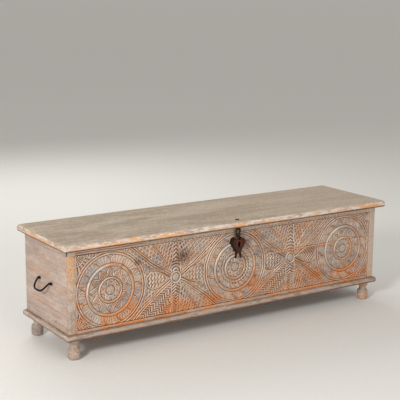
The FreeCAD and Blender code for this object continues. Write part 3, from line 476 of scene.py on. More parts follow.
def block_grid(xs, ys, zs):
    """Points on the six sides of a block, its faces, and the side that each face is on."""
    shape = (len(xs), len(ys), len(zs))
    on_side = np.zeros(shape, bool)
    for axis in range(3):
        ends = [slice(None)] * 3
        for end in (0, -1):
            ends[axis] = end
            on_side[tuple(ends)] = True
    index = np.full(shape, -1)
    index[on_side] = np.arange(on_side.sum())
    i, j, k = np.nonzero(on_side)
    points = np.column_stack([xs[i], ys[j], zs[k]])
    faces = []
    sides = []
    for axis in range(3):
        for end in (0, -1):
            cut = [slice(None)] * 3
            cut[axis] = end
            sheet = index[tuple(cut)]
            quads = np.stack([sheet[:-1, :-1], sheet[1:, :-1], sheet[1:, 1:], sheet[:-1, 1:]], -1)
            quads = quads.reshape(-1, 4)
            if (end == 0) == (axis != 1):
                quads = quads[:, ::-1]
            faces.append(quads)
            sides.append(np.full(len(quads), axis * 2 + (end != 0)))
    return points, np.concatenate(faces).tolist(), np.concatenate(sides)


def weather(points, outward, wear, seed, dent=0.35, chip=1.6):
    """Pushes points in a little: long dents everywhere and small chips where the wood is worn."""
    long_waves = 0.5 + 0.5 * np.clip(waves(points * [0.3, 1, 1], 90.0, seed), -1, 1)
    small = waves(points, 17.0, seed + 1)
    chips = unit(small - 0.75) * wear
    return points - outward * (dent * long_waves + chip * chips)[:, None]


BOARD_EDGE = 1.6
BOARD_STEP = 9.0
WORN_WIDTH = 14.0


def worn_board(node, materials, seed, raw_sides=()):
    """A board with softened, slightly chipped edges. raw_sides take the second material."""
    low, high = box_mm(node)
    lines = [grid_lines(a, b, BOARD_STEP, min(BOARD_EDGE, (b - a) / 3)) for a, b in zip(low, high)]
    points, faces, sides = block_grid(*lines)
    core = np.clip(points, low + BOARD_EDGE, high - BOARD_EDGE)
    away = points - core
    outward = away / np.maximum(np.linalg.norm(away, axis=1), 1e-6)[:, None]
    points = core + outward * BOARD_EDGE
    beyond = np.sort(np.minimum(points - low, high - points), axis=1)
    wear = unit(1 - beyond[:, 1] / WORN_WIDTH) ** 2
    points = np.clip(weather(points, outward, wear, seed), low, high)
    inner = np.isin(sides, raw_sides).astype(int)
    piece = make_object(f"{node}_worn", points, faces, materials, "carcass", [node], inner)
    keep_values(piece, wear=wear)
    return piece


NOSE_TOP_SHARE = 0.45
NOSE_BOTTOM_SHARE = 0.3


def nosed(points, low, high):
    """Rounds the four edges of a slab of which the points are part.

    Also gives which way is out at each point, and how far round the edge it lies, from 0 to 1."""
    thickness = high[2] - low[2]
    inset = np.minimum(points[:, :2] - low[:2], high[:2] - points[:, :2])
    depth = np.maximum(inset.min(axis=1), 0)
    drop, run = [], []
    for share in (NOSE_BOTTOM_SHARE, NOSE_TOP_SHARE):
        radius = thickness * share
        beyond = radius - np.minimum(depth, radius)
        drop.append(radius - np.sqrt(radius ** 2 - beyond ** 2))
        run.append(beyond / radius)
    level = (points[:, 2] - low[2]) / thickness
    bottom, top = low[2] + drop[0], high[2] - drop[1]
    rounded = points.copy()
    rounded[:, 2] = bottom + level * (top - bottom)
    at_top, at_bottom = level > 0.999, level < 0.001
    nose = np.where(at_top, run[1], np.where(at_bottom, run[0], depth < 0.01))
    outward = np.zeros_like(points)
    nearest = inset.argmin(axis=1)
    middle = (low[:2] + high[:2]) / 2
    rows = np.arange(len(points))
    outward[rows, nearest] = nose * np.sign(points[rows, nearest] - middle[nearest])
    outward[:, 2] = np.sqrt(unit(1 - nose ** 2)) * (at_top * 1.0 - at_bottom * 1.0)
    return rounded, outward, nose


def rim_lines(radius):
    """Distances from an edge that lie evenly round its corner."""
    return radius * (1 - np.cos(np.linspace(0, math.pi / 2, 9)))


LID_COLUMNS, LID_ROWS, LID_LEVELS = 190, 18, 9
SEAM_EASE = 0.6
SEAM_DEPTH = 0.5


def plank_lines(low, high, slab_high):
    """Grid lines of a lid plank along X, Y and Z, close together round its outer edges."""
    radius = (slab_high[2] - lid_low[2]) * NOSE_TOP_SHARE
    rim = rim_lines(radius)
    xs = np.concatenate([low[0] + rim[:-1], np.linspace(low[0] + radius, high[0] - radius, LID_COLUMNS),
                         (high[0] - rim)[::-1][1:]])
    front, back = np.array([low[1], low[1] + SEAM_EASE]), np.array([high[1] - SEAM_EASE, high[1]])
    if low[1] - lid_low[1] < 1:
        front = low[1] + rim
    if slab_high[1] - high[1] < 1:
        back = (high[1] - rim)[::-1]
    ys = np.concatenate([front, np.linspace(front[-1] + 3.0, back[0] - 3.0, LID_ROWS), back])
    return xs, ys, np.linspace(low[2], high[2], LID_LEVELS)


def lid_values(points, nose, low, high):
    """Where a plank is rounded, its painted shade below, a painted lighter tone towards the right, and where
    it is rubbed bare.
    """
    x, z = points[:, 0], points[:, 2]
    lower_half = np.clip(((low[2] + high[2]) / 2 + 2.0 - z) / 8.0, -1, 1)
    middle_share = step_between(-720, -520, x) * step_between(140, -60, x)
    right_share = step_between(500, 760, x)
    return {
        "nose": nose,
        # painted shade on the lower part of the lid's rounded edge
        "under": unit((low[2] + 10.0 - z) / 3.5) * unit(nose * 3),
        # painted light: the top grows paler towards the right
        "painted_brightening": 0.4 * step_between(-300, 800, x),
        "rubbed": 0.05 * middle_share + 0.04 * right_share + 0.05 * lower_half - 0.02,
    }


def lid_plank(node, seed):
    """One plank of the lid; its outer edges are rounded, and its underside is bare."""
    low, high = box_mm(node)
    slab_high = np.array([lid_high[0], box_mm("lid_back_plank")[1][1], lid_high[2]])
    flat, faces, sides = block_grid(*plank_lines(low, high, slab_high))
    points, outward, nose = nosed(flat, lid_low, slab_high)
    seam = np.minimum(np.abs(flat[:, 1] - low[1]), np.abs(flat[:, 1] - high[1])) < 0.5
    seam &= (nose < 0.01) & (flat[:, 2] > high[2] - 0.3)
    points[seam, 2] -= SEAM_DEPTH
    points = weather(points, outward, 0.3 + 0.7 * nose ** 3, seed, 0.3, 1.8)
    flat_faces = nose[np.array(faces)].mean(axis=1) < 0.05
    inner = ((sides == 4) & flat_faces).astype(int)
    piece = make_object(f"{node}_worn", points, faces, ("lid", "raw_x"), "lid", [node], inner)
    keep_values(piece, **lid_values(points, nose, low, high))


def base_member(node, along_x, seed):
    """One mitred member of the base frame with a rounded outer edge."""
    low, high = box_mm(node)
    frame_high = np.array([box_mm("base_right_moulding")[1][0], base_high[1], base_high[2]])
    long_axis, cross_axis = (0, 1) if along_x else (1, 0)
    length, width = high[long_axis] - low[long_axis], high[cross_axis] - low[cross_axis]
    outer_first = low[cross_axis] - base_low[cross_axis] < 1
    rim = rim_lines((frame_high[2] - base_low[2]) * NOSE_TOP_SHARE)
    count = int(length / BOARD_STEP)
    across = np.concatenate([rim[:-1], np.linspace(rim[-1], width, 8)])
    points, faces, _ = block_grid(np.linspace(0, 1, count), across, np.linspace(low[2], high[2], 7))
    along, inward, level = points.T
    placed = np.empty_like(points)
    placed[:, long_axis] = low[long_axis] + inward + along * (length - 2 * inward)
    placed[:, cross_axis] = low[cross_axis] + inward if outer_first else high[cross_axis] - inward
    placed[:, 2] = level
    if along_x != outer_first:
        faces = [face[::-1] for face in faces]
    placed, outward, nose = nosed(placed, base_low, frame_high)
    placed = weather(placed, outward, unit(nose) ** 2, seed, 0.3)
    finish = "moulding_x" if along_x else "moulding_y"
    piece = make_object(f"{node}_worn", placed, faces, (finish,), "carcass", [node])
    # painted shade, with bare wood, on the lower part of the base's rounded edge
    keep_values(piece, nose=nose, under=unit((low[2] + 11.0 - placed[:, 2]) / 4.0))


FOOT_SIDES = 72


def turned(node, profile, centre, seed):
    """A turned piece from a profile of (radius, height) in millimetres."""
    turn = np.linspace(0, 2 * math.pi, FOOT_SIDES, endpoint=False)
    rings = len(profile)
    radius, level = np.array(profile).T[:, :, None]
    around = np.stack([np.cos(turn), np.sin(turn), np.zeros(FOOT_SIDES)], -1)
    outward = np.tile(around, (rings, 1))
    points = np.stack([centre[0] + radius * np.cos(turn), centre[1] + radius * np.sin(turn),
                       np.repeat(level, FOOT_SIDES, 1)], -1).reshape(-1, 3)
    wear = unit(0.5 + 0.5 * waves(points, 30.0, seed)) * 0.6
    dents = 0.5 + 0.5 * np.clip(waves(points, 22.0, seed + 2), -1, 1)
    points = points - outward * (0.35 * dents)[:, None]
    index = np.arange(rings * FOOT_SIDES).reshape(rings, FOOT_SIDES)
    after = np.roll(index, -1, axis=1)
    faces = np.stack([index[:-1], after[:-1], after[1:], index[1:]], -1).reshape(-1, 4).tolist()
    faces += [index[0, ::-1].tolist(), index[-1].tolist()]
    piece = make_object(f"{node}_turned", points, faces, ("foot",), "carcass", [node])
    keep_values(piece, wear=wear)


def arc_profile(start, end, bulge, count):
    """Points of (radius, height) on a smooth curve from start to end that bulges out by bulge."""
    share = np.linspace(0, 1, count)
    bow = 4 * share * (1 - share) * bulge
    return [(start[0] + (end[0] - start[0]) * s + b, start[1] + (end[1] - start[1]) * s)
            for s, b in zip(share, bow)]


def quarter_profile(near, far, count):
    """Points of (radius, height) on a quarter round that leaves near level and ends at far upright."""
    turns = np.linspace(0, math.pi / 2, count)
    return [(near[0] + (far[0] - near[0]) * math.sin(t), far[1] + (near[1] - far[1]) * math.cos(t))
            for t in turns]


def turned_foot(node, seed):
    """Squat ball with a lathe groove, neck with a ring, flared cove and disc."""
    low, high = box_mm(node)
    centre = (low + high) / 2
    top = base_low[2]
    ball = (high[0] - low[0]) / 2
    pad, neck, disc = ball * 0.667, ball * 0.611, ball * 0.907
    heel, shoulder, ball_top = top * 0.146, top * 0.404, top * 0.584
    neck_top, disc_low = top * 0.663, top * 0.831
    profile = quarter_profile((pad, 0.0), (ball, heel), 9)
    for level in np.linspace(heel, shoulder, 20)[1:-1]:
        profile.append((ball - 1.5 * math.exp(-((level - shoulder + 3.0) / 1.2) ** 2), level))
    profile += quarter_profile((neck, ball_top), (ball, shoulder), 12)[::-1]
    profile += [(neck + 1.5, ball_top + 0.8), (neck + 1.5, ball_top + 2.4), (neck, ball_top + 3.4),
                (neck, neck_top)]
    profile += arc_profile((neck + 0.2, neck_top + 0.8), (disc - 1.0, disc_low), -2.2, 8)
    profile += [(disc, disc_low + 0.8), (disc, top - 0.6), (disc - 0.8, top)]
    turned(node, profile, centre, seed)


# Carving of the front

GRID_STEP = 1.25
GROUND_DEPTH = 6.5
ROUNDEL_X = 644.0
STAR_X = 318.0
STAR_REACH = 232.0
CENTRE_Z = base_high[2] + 172.0
LEFT_DROP = 7.0
BORDER_RADII = (158.5, 170.0)
# Radius, half width and relief of the two raised rings
OUTER_RING = (110.0, 6.5, 6.5)
INNER_RING = (53.5, 5.2, 6.0)
BOSS_RADIUS = 21.0
OUTER_START = OUTER_RING[0] + OUTER_RING[1]
INNER_START = INNER_RING[0] + INNER_RING[1]
MARGIN_HEIGHT = 12.0
CUT_DEPTH = 1.5
EDGE_CUT_HALF = 1.6
LINE_RELIEF = 4.8
GOUGE_PITCH = 20.0


def ridge(distance, half_width):
    """Rounded section: 1 on the line, 0 from half_width away."""
    return np.sqrt(unit(1 - (distance / half_width) ** 2))


def lumps(x, z, size, seed):
    """Soft patches from 0 to 1, about size wide."""
    random = np.random.default_rng(seed)
    u = (x - x.min()) / size
    w = (z - z.min()) / size
    table = random.random((int(w.max()) + 3, int(u.max()) + 3))
    i, j = np.floor(w).astype(int), np.floor(u).astype(int)
    fw, fu = step_between(0, 1, w - i), step_between(0, 1, u - j)
    top = table[i, j] * (1 - fu) + table[i, j + 1] * fu
    bottom = table[i + 1, j] * (1 - fu) + table[i + 1, j + 1] * fu
    return top * (1 - fw) + bottom * fw


def softened(values, passes):
    """Blurred copy of a grid."""
    for _ in range(passes):
        padded = np.pad(values, 1, mode="edge")
        values = (padded[1:-1, 1:-1] * 2 + padded[:-2, 1:-1] + padded[2:, 1:-1]
                  + padded[1:-1, :-2] + padded[1:-1, 2:]) / 6
    return values


def stroke(phase, pitch):
    """Row of cuts: 1 on the ridges between them, 0 in their middles."""
    return 0.5 + 0.5 * np.cos(2 * math.pi * phase / pitch)


def cuts(phase, pitch, relief=5.0, sunk=0.4):
    """Heights of a row of cuts that go a little below the ground."""
    return relief * stroke(phase, pitch) - sunk


def zigzag(value, pitch):
    """Triangle wave from -1 to 1."""
    return 4 * np.abs((value / pitch) % 1 - 0.5) - 1


def gouges(along, across, long_pitch, cross_pitch):
    """Staggered rows of oval gouge cuts: 1 in the middle of each, 0 outside."""
    row = np.floor(across / cross_pitch)
    shifted = along + (row % 2) * long_pitch / 2
    u = (shifted % long_pitch - long_pitch / 2) / (long_pitch * 0.38)
    w = (across % cross_pitch - cross_pitch / 2) / (cross_pitch * 0.34)
    return np.sqrt(unit(1 - u ** 2 - w ** 2))


def gouged(along, across, cross_pitch, top=3.9, depth=3.4):
    """Heights of a face with rows of gouge cuts in it."""
    return top - depth * unit(1.9 * gouges(along, across, GOUGE_PITCH, cross_pitch))


def raised(field, distance, half, relief, reach):
    """Lays a rounded line over a field of heights, and levels what is beside it."""
    return np.where(np.abs(distance) < reach, relief * ridge(distance, half), field)


def petal_ring(height, radius, angle, start, length, count, turn, blunt, relief, kind, infill=2.0):
    """A ring of leaves that grow outwards, with a raised outline and a deep cut between the tips.

    turn is where the first lies; blunt is 1 for pointed tips and 0.5 for round ones; kind is fan,
    nested or plain."""
    pitch = 2 * math.pi / count
    local = (angle - turn + pitch / 2) % pitch - pitch / 2
    across = radius * np.sin(local)
    out = radius * np.cos(local) - start
    share = unit(out / length)
    widest = (start + 0.35 * length) * math.tan(pitch / 2) * 0.98
    belly = np.minimum(1.0, 0.72 + 0.9 * share)
    half = widest * belly * (1 - share ** 2.4) ** blunt
    inside = (out > -3) & (out < length) & (np.abs(across) < half)
    past = np.abs(across) - half
    rim = np.minimum(-past, (length - out) * 1.3)
    middle = np.maximum(half, 1)
    if kind == "fan":
        inner = 0.2 + 0.6 * stroke(np.arctan2(across, out + 0.45 * length), 0.34)
    elif kind == "nested":
        inner = np.maximum(0.12 + 0.2 * (1 - (across / middle) ** 2), 0.9 * ridge(rim - 10.0, 3.0))
        inner = np.maximum(inner, 0.8 * ridge(across, 2.2) * step_between(13, 15, rim))
    else:
        inner = 0.3 + 0.5 * unit(1 - (across / middle) ** 2)
    leaf = relief * np.where(rim > 5.6, inner, 0.0)
    leaf = np.maximum(leaf, relief * 1.1 * ridge(rim - 2.4, 2.7))
    rays = infill * (1 + 0.8 * stroke(np.abs(across) - out * 0.3, 7.0))
    gap = np.where(past < 2.2, -CUT_DEPTH, np.where(share > 0.8, 0.9, rays))
    in_band = (out > -3) & (out < length + 2.0)
    return np.where(inside, leaf, np.where(in_band, gap, height))


def left_roundel(carved, radius, angle):
    """Thirteen fan lobes, twelve lotus petals and eight small petals."""
    turn = math.pi / 2 + math.pi / 13
    carved = petal_ring(carved, radius, angle, OUTER_START, 40.0, 13, turn, 0.5, 4.6, "fan")
    carved = petal_ring(carved, radius, angle, INNER_START, 41.5, 12, 0.0, 0.85, 5.2, "nested", 0.9)
    return petal_ring(carved, radius, angle, BOSS_RADIUS, 26.0, 8, 0.2, 0.8, 3.8, "plain")


def middle_roundel(carved, radius, angle):
    """Pointed leaves outside the rings, wavy arcs and notches between them and fine petals inside."""
    carved = petal_ring(carved, radius, angle, OUTER_START, 41.0, 16, 0.1, 1.0, 4.2, "nested")
    arcs = cuts(radius + 3.0 * zigzag(angle * radius / 16.0, 1.0), 14.0, 4.8)
    carved = np.where((radius > INNER_START) & (radius < OUTER_RING[0] - 7), arcs, carved)
    notches = petal_ring(carved, radius, angle, INNER_START + 25, 16.0, 22, 0.0, 0.7, 3.8, "plain")
    carved = np.where(radius > INNER_START + 24, notches, carved)
    return petal_ring(carved, radius, angle, BOSS_RADIUS, 26.0, 12, 0.0, 0.7, 3.8, "plain")


def right_roundel(carved, radius, angle):
    """Worn: pointed leaves outside the rings and shallow petals between them."""
    carved = petal_ring(carved, radius, angle, OUTER_START, 40.0, 15, 0.15, 0.8, 4.8, "nested")
    petals = petal_ring(carved, radius, angle, INNER_START, 41.0, 14, 0.0, 0.7, 4.6, "nested", 0.8)
    between_rings = (radius > INNER_START) & (radius < OUTER_RING[0])
    carved = np.where(between_rings, 0.8 * petals + 0.4, petals)
    return petal_ring(carved, radius, angle, BOSS_RADIUS, 26.0, 10, 0.3, 0.7, 2.8, "plain")


ROUNDEL_KINDS = {"left": left_roundel, "middle": middle_roundel, "right": right_roundel}


def roundel_middle(centre_x):
    """Height of a roundel's middle; the left one was cut a little lower."""
    return CENTRE_Z - (LEFT_DROP if centre_x < -STAR_X else 0.0)


def roundel(height, x, z, centre_x, style):
    """Rings, the petals between them and the button in the middle."""
    u, w = x - centre_x, z - roundel_middle(centre_x)
    radius, angle = np.hypot(u, w), np.arctan2(w, u)
    carved = ROUNDEL_KINDS[style](np.full_like(height, 0.8), radius, angle)
    for ring_radius in BORDER_RADII:
        carved = raised(carved, radius - ring_radius, 3.6, 4.6, 5.6)
    for ring_radius, half, relief in (OUTER_RING, INNER_RING):
        carved = raised(carved, radius - ring_radius, half, relief, half + 1.9)
    dome = 5.4 * ridge(radius, BOSS_RADIUS * 1.04)
    if style == "right":
        dome -= 1.8 * gouges(u + 40, w + 40, 11.0, 9.0)
    else:
        dome -= 2.2 * (1 - stroke(angle + math.pi / 4, math.pi / 3)) * step_between(4, 9, radius)
    carved = np.where(radius < BOSS_RADIUS, dome, carved)
    carved = np.where(np.abs(radius - BOSS_RADIUS) < 1.5, -CUT_DEPTH, carved)
    return np.where(radius < BORDER_RADII[1] + 4, carved, height)


# Start, slope and bend of the curves in a star
RIB_CURVE = (0.0, 0.56, 0.00085)
INNER_CURVE = (0.0, 0.2545, 0.0013)
LENS_CURVE = (25.0, 0.25, 0.0021)
HERRING_ROW = 18.0
LEAF_START, LEAF_END, LEAF_HALF = 25.0, 157.0, 41.0
LEAF_WIDEST_SHARE = 0.73


def past_curve(value, along, curve):
    """Distance of a value past a curve."""
    start, slope, bend = curve
    line = start + slope * along + bend * along ** 2
    return (value - line) / np.hypot(1, slope + 2 * bend * along)


def star_ground(u, rise, radius, lower_left, wander):
    """Gouge cuts in rows between the ribs, herringbone at the lower left, and two curved lines."""
    past_rib = past_curve(rise, u, RIB_CURVE)
    past_inner = past_curve(rise, u, INNER_CURVE)
    past_lens = past_curve(u, rise, LENS_CURVE)
    off_rib = past_rib - 8
    lean = np.where(np.floor(off_rib / HERRING_ROW) % 2 == 0, 1, -1)
    slant = lean * (off_rib % HERRING_ROW - HERRING_ROW / 2) * 0.9
    herring = cuts(radius + 2 * wander + slant, 14.5, 4.7, 0.3)
    fans = np.where(lower_left, herring, gouged(radius + wander, off_rib, 16.5))
    carved = np.where(past_rib > 0, fans, gouged(radius + wander, past_inner + 2, 16.0))
    dashes = gouged(rise + 1.6 * wander, u + 0.3 * rise + 60 + wander, 15.0, 4.2, 3.8)
    fan_side = (past_rib > 0) & ~lower_left
    carved = np.where(fan_side & (past_lens < 0), dashes, carved)
    carved = np.where(fan_side & (radius > 34), raised(carved, past_lens, 2.6, LINE_RELIEF, 4.2), carved)
    return np.where((past_rib <= 0) & (u > 40), raised(carved, past_inner, 2.5, 4.6, 4.0), carved)


def leaf_fill(style, side, u, w):
    """Chevrons along a star's side leaf; feather strokes in the right-hand leaf of the right star."""
    chevrons = cuts(u + 3.4 * zigzag(w + 60, 20.0), 16.5, 5.2, 0.5)
    midline = 4.4 * ridge(w, 2.4)
    barbs = np.maximum(cuts(u + 0.95 * np.abs(w), 15.0, 5.2, 0.5), midline)
    if style == "left":
        return chevrons
    return np.where(side > 0, barbs, np.maximum(chevrons, midline))


def side_leaf(carved, side, w, style):
    """The wide leaf to each side of a star's middle, with a double rim."""
    u, rise = np.abs(side), np.abs(w)
    share = unit((u - LEAF_START) / (LEAF_END - LEAF_START - 1))
    growth = np.sin(unit(share / LEAF_WIDEST_SHARE) * math.pi / 2) ** 1.1
    past_widest = unit((share - LEAF_WIDEST_SHARE) / (1 - LEAF_WIDEST_SHARE))
    half = LEAF_HALF * np.where(share < LEAF_WIDEST_SHARE, growth,
                                np.cos(past_widest * math.pi / 2 * 0.78))
    inside = (rise < half) & (u > LEAF_START) & (u < LEAF_END)
    rim = np.minimum(half - rise, LEAF_END - u)
    leaf = np.where(rim > 8.5, leaf_fill(style, side, u, w), -0.6)
    leaf = np.maximum(leaf, LINE_RELIEF * np.maximum(ridge(rim - 1.8, 2.2), ridge(rim - 6.6, 1.9)))
    below_rib = past_curve(rise, u, RIB_CURVE) <= 0
    beside = (rise < half + 3) & (u > LEAF_START) & (u < LEAF_END + 3) & below_rib
    return np.where(inside, leaf, np.where(beside, -CUT_DEPTH, carved))


def star_columns(carved, u, rise, upper):
    """The upright bands above and below the star's middle."""
    arch_top, bar_rise = 76.0, 78.0
    half = np.where(upper, np.where(rise < arch_top, 27.0, 21.0 - (rise - arch_top) * 0.07),
                    26.0 + 4.0 * step_between(120, 160, rise))
    arches = cuts(np.hypot(u, rise - 26), 14.0)
    chevron_stack = cuts(rise + 0.75 * u, 17.0, 5.2)
    cartouche = cuts(rise - 0.65 * u, 14.0)
    ladder = np.where(u < 11, cuts(rise + 1.1 * u, 13.5), cuts(rise, 10.0, 4.2, -0.2))
    rails = LINE_RELIEF * np.maximum(ridge(u - 18.8, 2.2), ridge(u - 24.0, 2.2))
    column = np.where(upper, np.where(rise < arch_top, arches, chevron_stack),
                      np.where(rise < bar_rise, cartouche, np.where(u > 16.5, rails, ladder)))
    column = np.where(half - u < 5.4, LINE_RELIEF * ridge(half - u - 2.2, 2.4), column)
    column = np.where(upper, column, raised(column, rise - bar_rise, 2.8, LINE_RELIEF, 3.4))
    return np.where((u < half) & (rise > 24), column, carved)


def star(x, z, centre_x, style):
    """Four double ribs to the corners, a leaf to each side, columns above and below."""
    side, w = x - centre_x, z - CENTRE_Z
    u, rise = np.abs(side), np.abs(w)
    radius = np.hypot(u, w)
    wander = 4.0 * (lumps(x, z, 40.0, 5) - 0.5)
    carved = star_ground(u, rise, radius, (w <= 0) & (side < 0), wander)
    carved = side_leaf(carved, side, w, style)
    past_rib = past_curve(rise, u, RIB_CURVE)
    ribs = sum(LINE_RELIEF * ridge(past_rib - place, 3.6) for place in (-4.9, 4.9))
    ribs = np.where(ribs <= 0, -0.5, ribs)
    carved = np.where((np.abs(past_rib) < 10.2) & (radius > 24), ribs, carved)
    carved = star_columns(carved, u, rise, w > 0)
    carved = np.where(radius < 31, 5.4 * ridge(radius - 25.0, 4.6), carved)
    button = LINE_RELIEF * ridge(radius, 17.5) - 1.4 * gouges(u, rise, 9.0, 9.0)
    return np.where(radius < 18, button, carved)


def corner_fill(x, z):
    """Corners beyond the roundels: a fan from the corner and a row of notches by the border."""
    corner_x = np.where(x < 0, field_left, field_right)
    corner_z = np.where(z > CENTRE_Z, field_top, field_bottom + MARGIN_HEIGHT)
    u, w = np.abs(x - corner_x), np.abs(z - corner_z)
    fan = raised(cuts(np.arctan2(w, u + 1), 0.24), np.hypot(u, w) - 50, 2.6, 4.6, 4.4)
    return np.where(w < 12, cuts(u + 0.9 * w, 13.5), fan)


def heart_mask(x, z):
    """True behind the lock, where the front is left flat."""
    lobe_drop, tip_drop, tip_radius = 19.5, 59.0, 8.5
    u, drop = np.abs(x - heart_middle), heart_high[2] - z
    lobe = np.hypot(u - 15.0, drop - lobe_drop) < 17.0
    tip = np.hypot(u, drop - tip_drop) < tip_radius
    side = (drop > lobe_drop) & (drop < tip_drop) & (u < tip_radius + (tip_drop - drop) * 0.58)
    return lobe | tip | side


def hand_cut(x, z):
    """Places on the front, shifted a little as they come out when cut by hand."""
    drift = 3.6
    return (x + drift * (lumps(x, z, 46.0, 31) - 0.5) + 1.4 * (lumps(x, z, 15.0, 33) - 0.5),
            z + drift * (lumps(x, z, 46.0, 32) - 0.5) + 1.4 * (lumps(x, z, 15.0, 34) - 0.5))


def wear_down(x, z, height):
    """The heights after long use: softer, flatter in places, with small chips."""
    height = 0.7 * height + 0.3 * softened(height, 1)
    flatter = 0.16 * step_between(0.4, 0.8, lumps(x, z, 85.0, 15)) + 0.12 * step_between(430, 560, x)
    height = height * (1 - flatter) + 2.0 * flatter + unevenness(x, z, 11)
    chips = step_between(0.8, 0.92, lumps(x, z, 11.0, 16)) * step_between(3.0, 4.5, height)
    return height - 1.6 * chips


def unevenness(x, z, seed):
    """Small swells and dips of hand-cut wood."""
    return 0.5 * (lumps(x, z, 6.0, seed) - 0.5) + 1.1 * (lumps(x, z, 30.0, seed + 1) - 0.5)


SEAM_BEAD_DROP, SEAM_BEAD_HALF = 6.0, 3.8


def carving(x, z):
    """Height of the carved front above its ground, in millimetres."""
    place_x, place_z = hand_cut(x, z)
    height = corner_fill(place_x, place_z)
    for centre_x, style in ((-STAR_X, "left"), (STAR_X, "right")):
        cell = np.abs(x - centre_x) < STAR_REACH
        height = np.where(cell, star(place_x, place_z, centre_x, style), height)
    near_x, near_z = (place_x + 2 * x) / 3, (place_z + 2 * z) / 3
    for centre_x, style in ((-ROUNDEL_X, "left"), (0.0, "middle"), (ROUNDEL_X, "right")):
        height = roundel(height, near_x, near_z, centre_x, style)
    bottom_edge = field_bottom + MARGIN_HEIGHT
    height = np.where(z > field_top - 2.5, -CUT_DEPTH, height)
    height = np.where(np.abs(z - bottom_edge) < EDGE_CUT_HALF, -CUT_DEPTH, height)
    height = np.where(z < bottom_edge - EDGE_CUT_HALF, GROUND_DEPTH - 0.4, height)
    rim = np.minimum(x - field_left, field_right - x)
    height = np.where(rim < 7, LINE_RELIEF * ridge(rim - 4.4, 2.6), height)
    height = wear_down(x, z, height)
    gap = np.abs(z - seam_z)
    height -= np.where(gap < 2.0, (0.5 + 1.7 * step_between(140, 220, x)) * (1 - gap / 2.0), 0)
    bead = LINE_RELIEF * ridge(gap - SEAM_BEAD_DROP, SEAM_BEAD_HALF)
    bead = bead * step_between(220, 250, x) * step_between(620, 540, x)
    height = np.where((z < seam_z) & (bead > 0), np.maximum(height, bead), height)
    height = np.where(heart_mask(x, z), GROUND_DEPTH, height)
    return np.clip(height, -1.7, GROUND_DEPTH)


STAINS = (
    # x, height over the middle, reach and strength of each dark stain
    (-280.0, 88.0, 46.0, 1.0),
    (-330.0, 72.0, 26.0, 0.6),
    (-510.0, 94.0, 20.0, 0.75),
    (60.0, 112.0, 34.0, 0.45),
    (128.0, 55.0, 24.0, 0.5),
    (830.0, 57.0, 30.0, 0.4),
)
RUBBED = (
    # the same for each patch rubbed down to orange wood, which is twice as wide as high
    (-790.0, -45.0, 34.0, 0.7),
    (-530.0, -85.0, 32.0, 1.0),
    (-640.0, 90.0, 26.0, 0.8),
    (-330.0, -140.0, 44.0, 0.7),
    (-127.0, -130.0, 38.0, 0.7),
    (130.0, -100.0, 50.0, 0.9),
    (463.0, -112.0, 40.0, 0.8),
    (644.0, -104.0, 36.0, 0.65),
)


def ring_tone(x, z):
    """On the rings of the roundels: 1 at the upper left, -1 at the lower right."""
    tone = np.zeros_like(x)
    for centre_x in (-ROUNDEL_X, 0.0, ROUNDEL_X):
        u, w = x - centre_x, z - roundel_middle(centre_x)
        radius = np.maximum(np.hypot(u, w), 1)
        on_ring = sum(ridge(radius - ring, half + 1) for ring, half, _ in (OUTER_RING, INNER_RING))
        tone += on_ring * (w - u) / (radius * math.sqrt(2))
    return tone


def rubbed_share(x, z, ragged):
    """How far each point is rubbed down to orange wood."""
    rubbed = np.zeros_like(x)
    for patch_x, patch_z, reach, strength in RUBBED:
        away = np.hypot((x - patch_x) / 2, z - CENTRE_Z - patch_z) / reach
        rubbed = np.maximum(rubbed, strength * step_between(1.3, 0.3, away + ragged))
    return rubbed


def stained_share(x, z):
    """How dark each point is stained."""
    stain_and_shadow = np.zeros_like(x)
    for stain_x, stain_z, reach, strength in STAINS:
        away = np.hypot(x - stain_x, (z - CENTRE_Z - stain_z) * 1.3) / reach
        stain_and_shadow = np.maximum(stain_and_shadow, strength * unit(1.2 - away))
    return stain_and_shadow


def relief_tints(x, z, height, fine, small, low_down):
    """How bare, warm and pale each point is, with painted highlights and painted shade in cuts, from the
    relief alone.
    """
    rise_x = np.gradient(height, GRID_STEP, axis=1)
    rise_z = np.gradient(height, GRID_STEP, axis=0)
    proud = height - softened(height, 30)
    facing = 0.5 * (rise_x - rise_z)
    turned_away = unit(-facing)
    wide = lumps(x, z, 120.0, 21)
    grain = lumps(x * 0.35, z, 5.0, 23)
    crest = step_between(0.1, 1.7, proud + 0.5 * (small - 0.5))
    bare = crest * (0.6 + 0.4 * step_between(0.2, 0.6, wide * 0.4 + small * 0.6))
    bare = np.maximum(bare, 0.55 * low_down * step_between(0.5, 0.8, small + 0.3 * grain))
    bare += 0.6 * turned_away
    warm = 0.8 * step_between(0.4, 0.9, wide * 0.2 + small * 0.35 + fine * 0.45) + 0.32 * low_down
    warm += 0.5 * turned_away + 0.2 * step_between(640, 800, np.abs(x))
    # painted highlight, partly white lime, on proud slopes that face the upper left
    pale = unit(1.5 * facing) * step_between(-0.4, 1.2, proud) * (0.4 + 0.6 * fine)
    pale += 0.4 * crest * step_between(0.6, 0.85, lumps(x, z, 30.0, 26))
    flat = 1 - step_between(0.12, 0.4, np.hypot(rise_x, rise_z))
    recess = flat * step_between(-0.2, 0.2, height) * step_between(2.2, 1.4, height)
    # painted shade in narrow cuts and below the ground
    cut = step_between(0.15, 1.25, softened(height, 16) - height)
    hollow = 0.9 * step_between(0.3, 1.2, -height) + 0.85 * cut * (1 - 0.5 * recess)
    return bare, warm, pale * (1 - 0.5 * low_down), hollow, recess


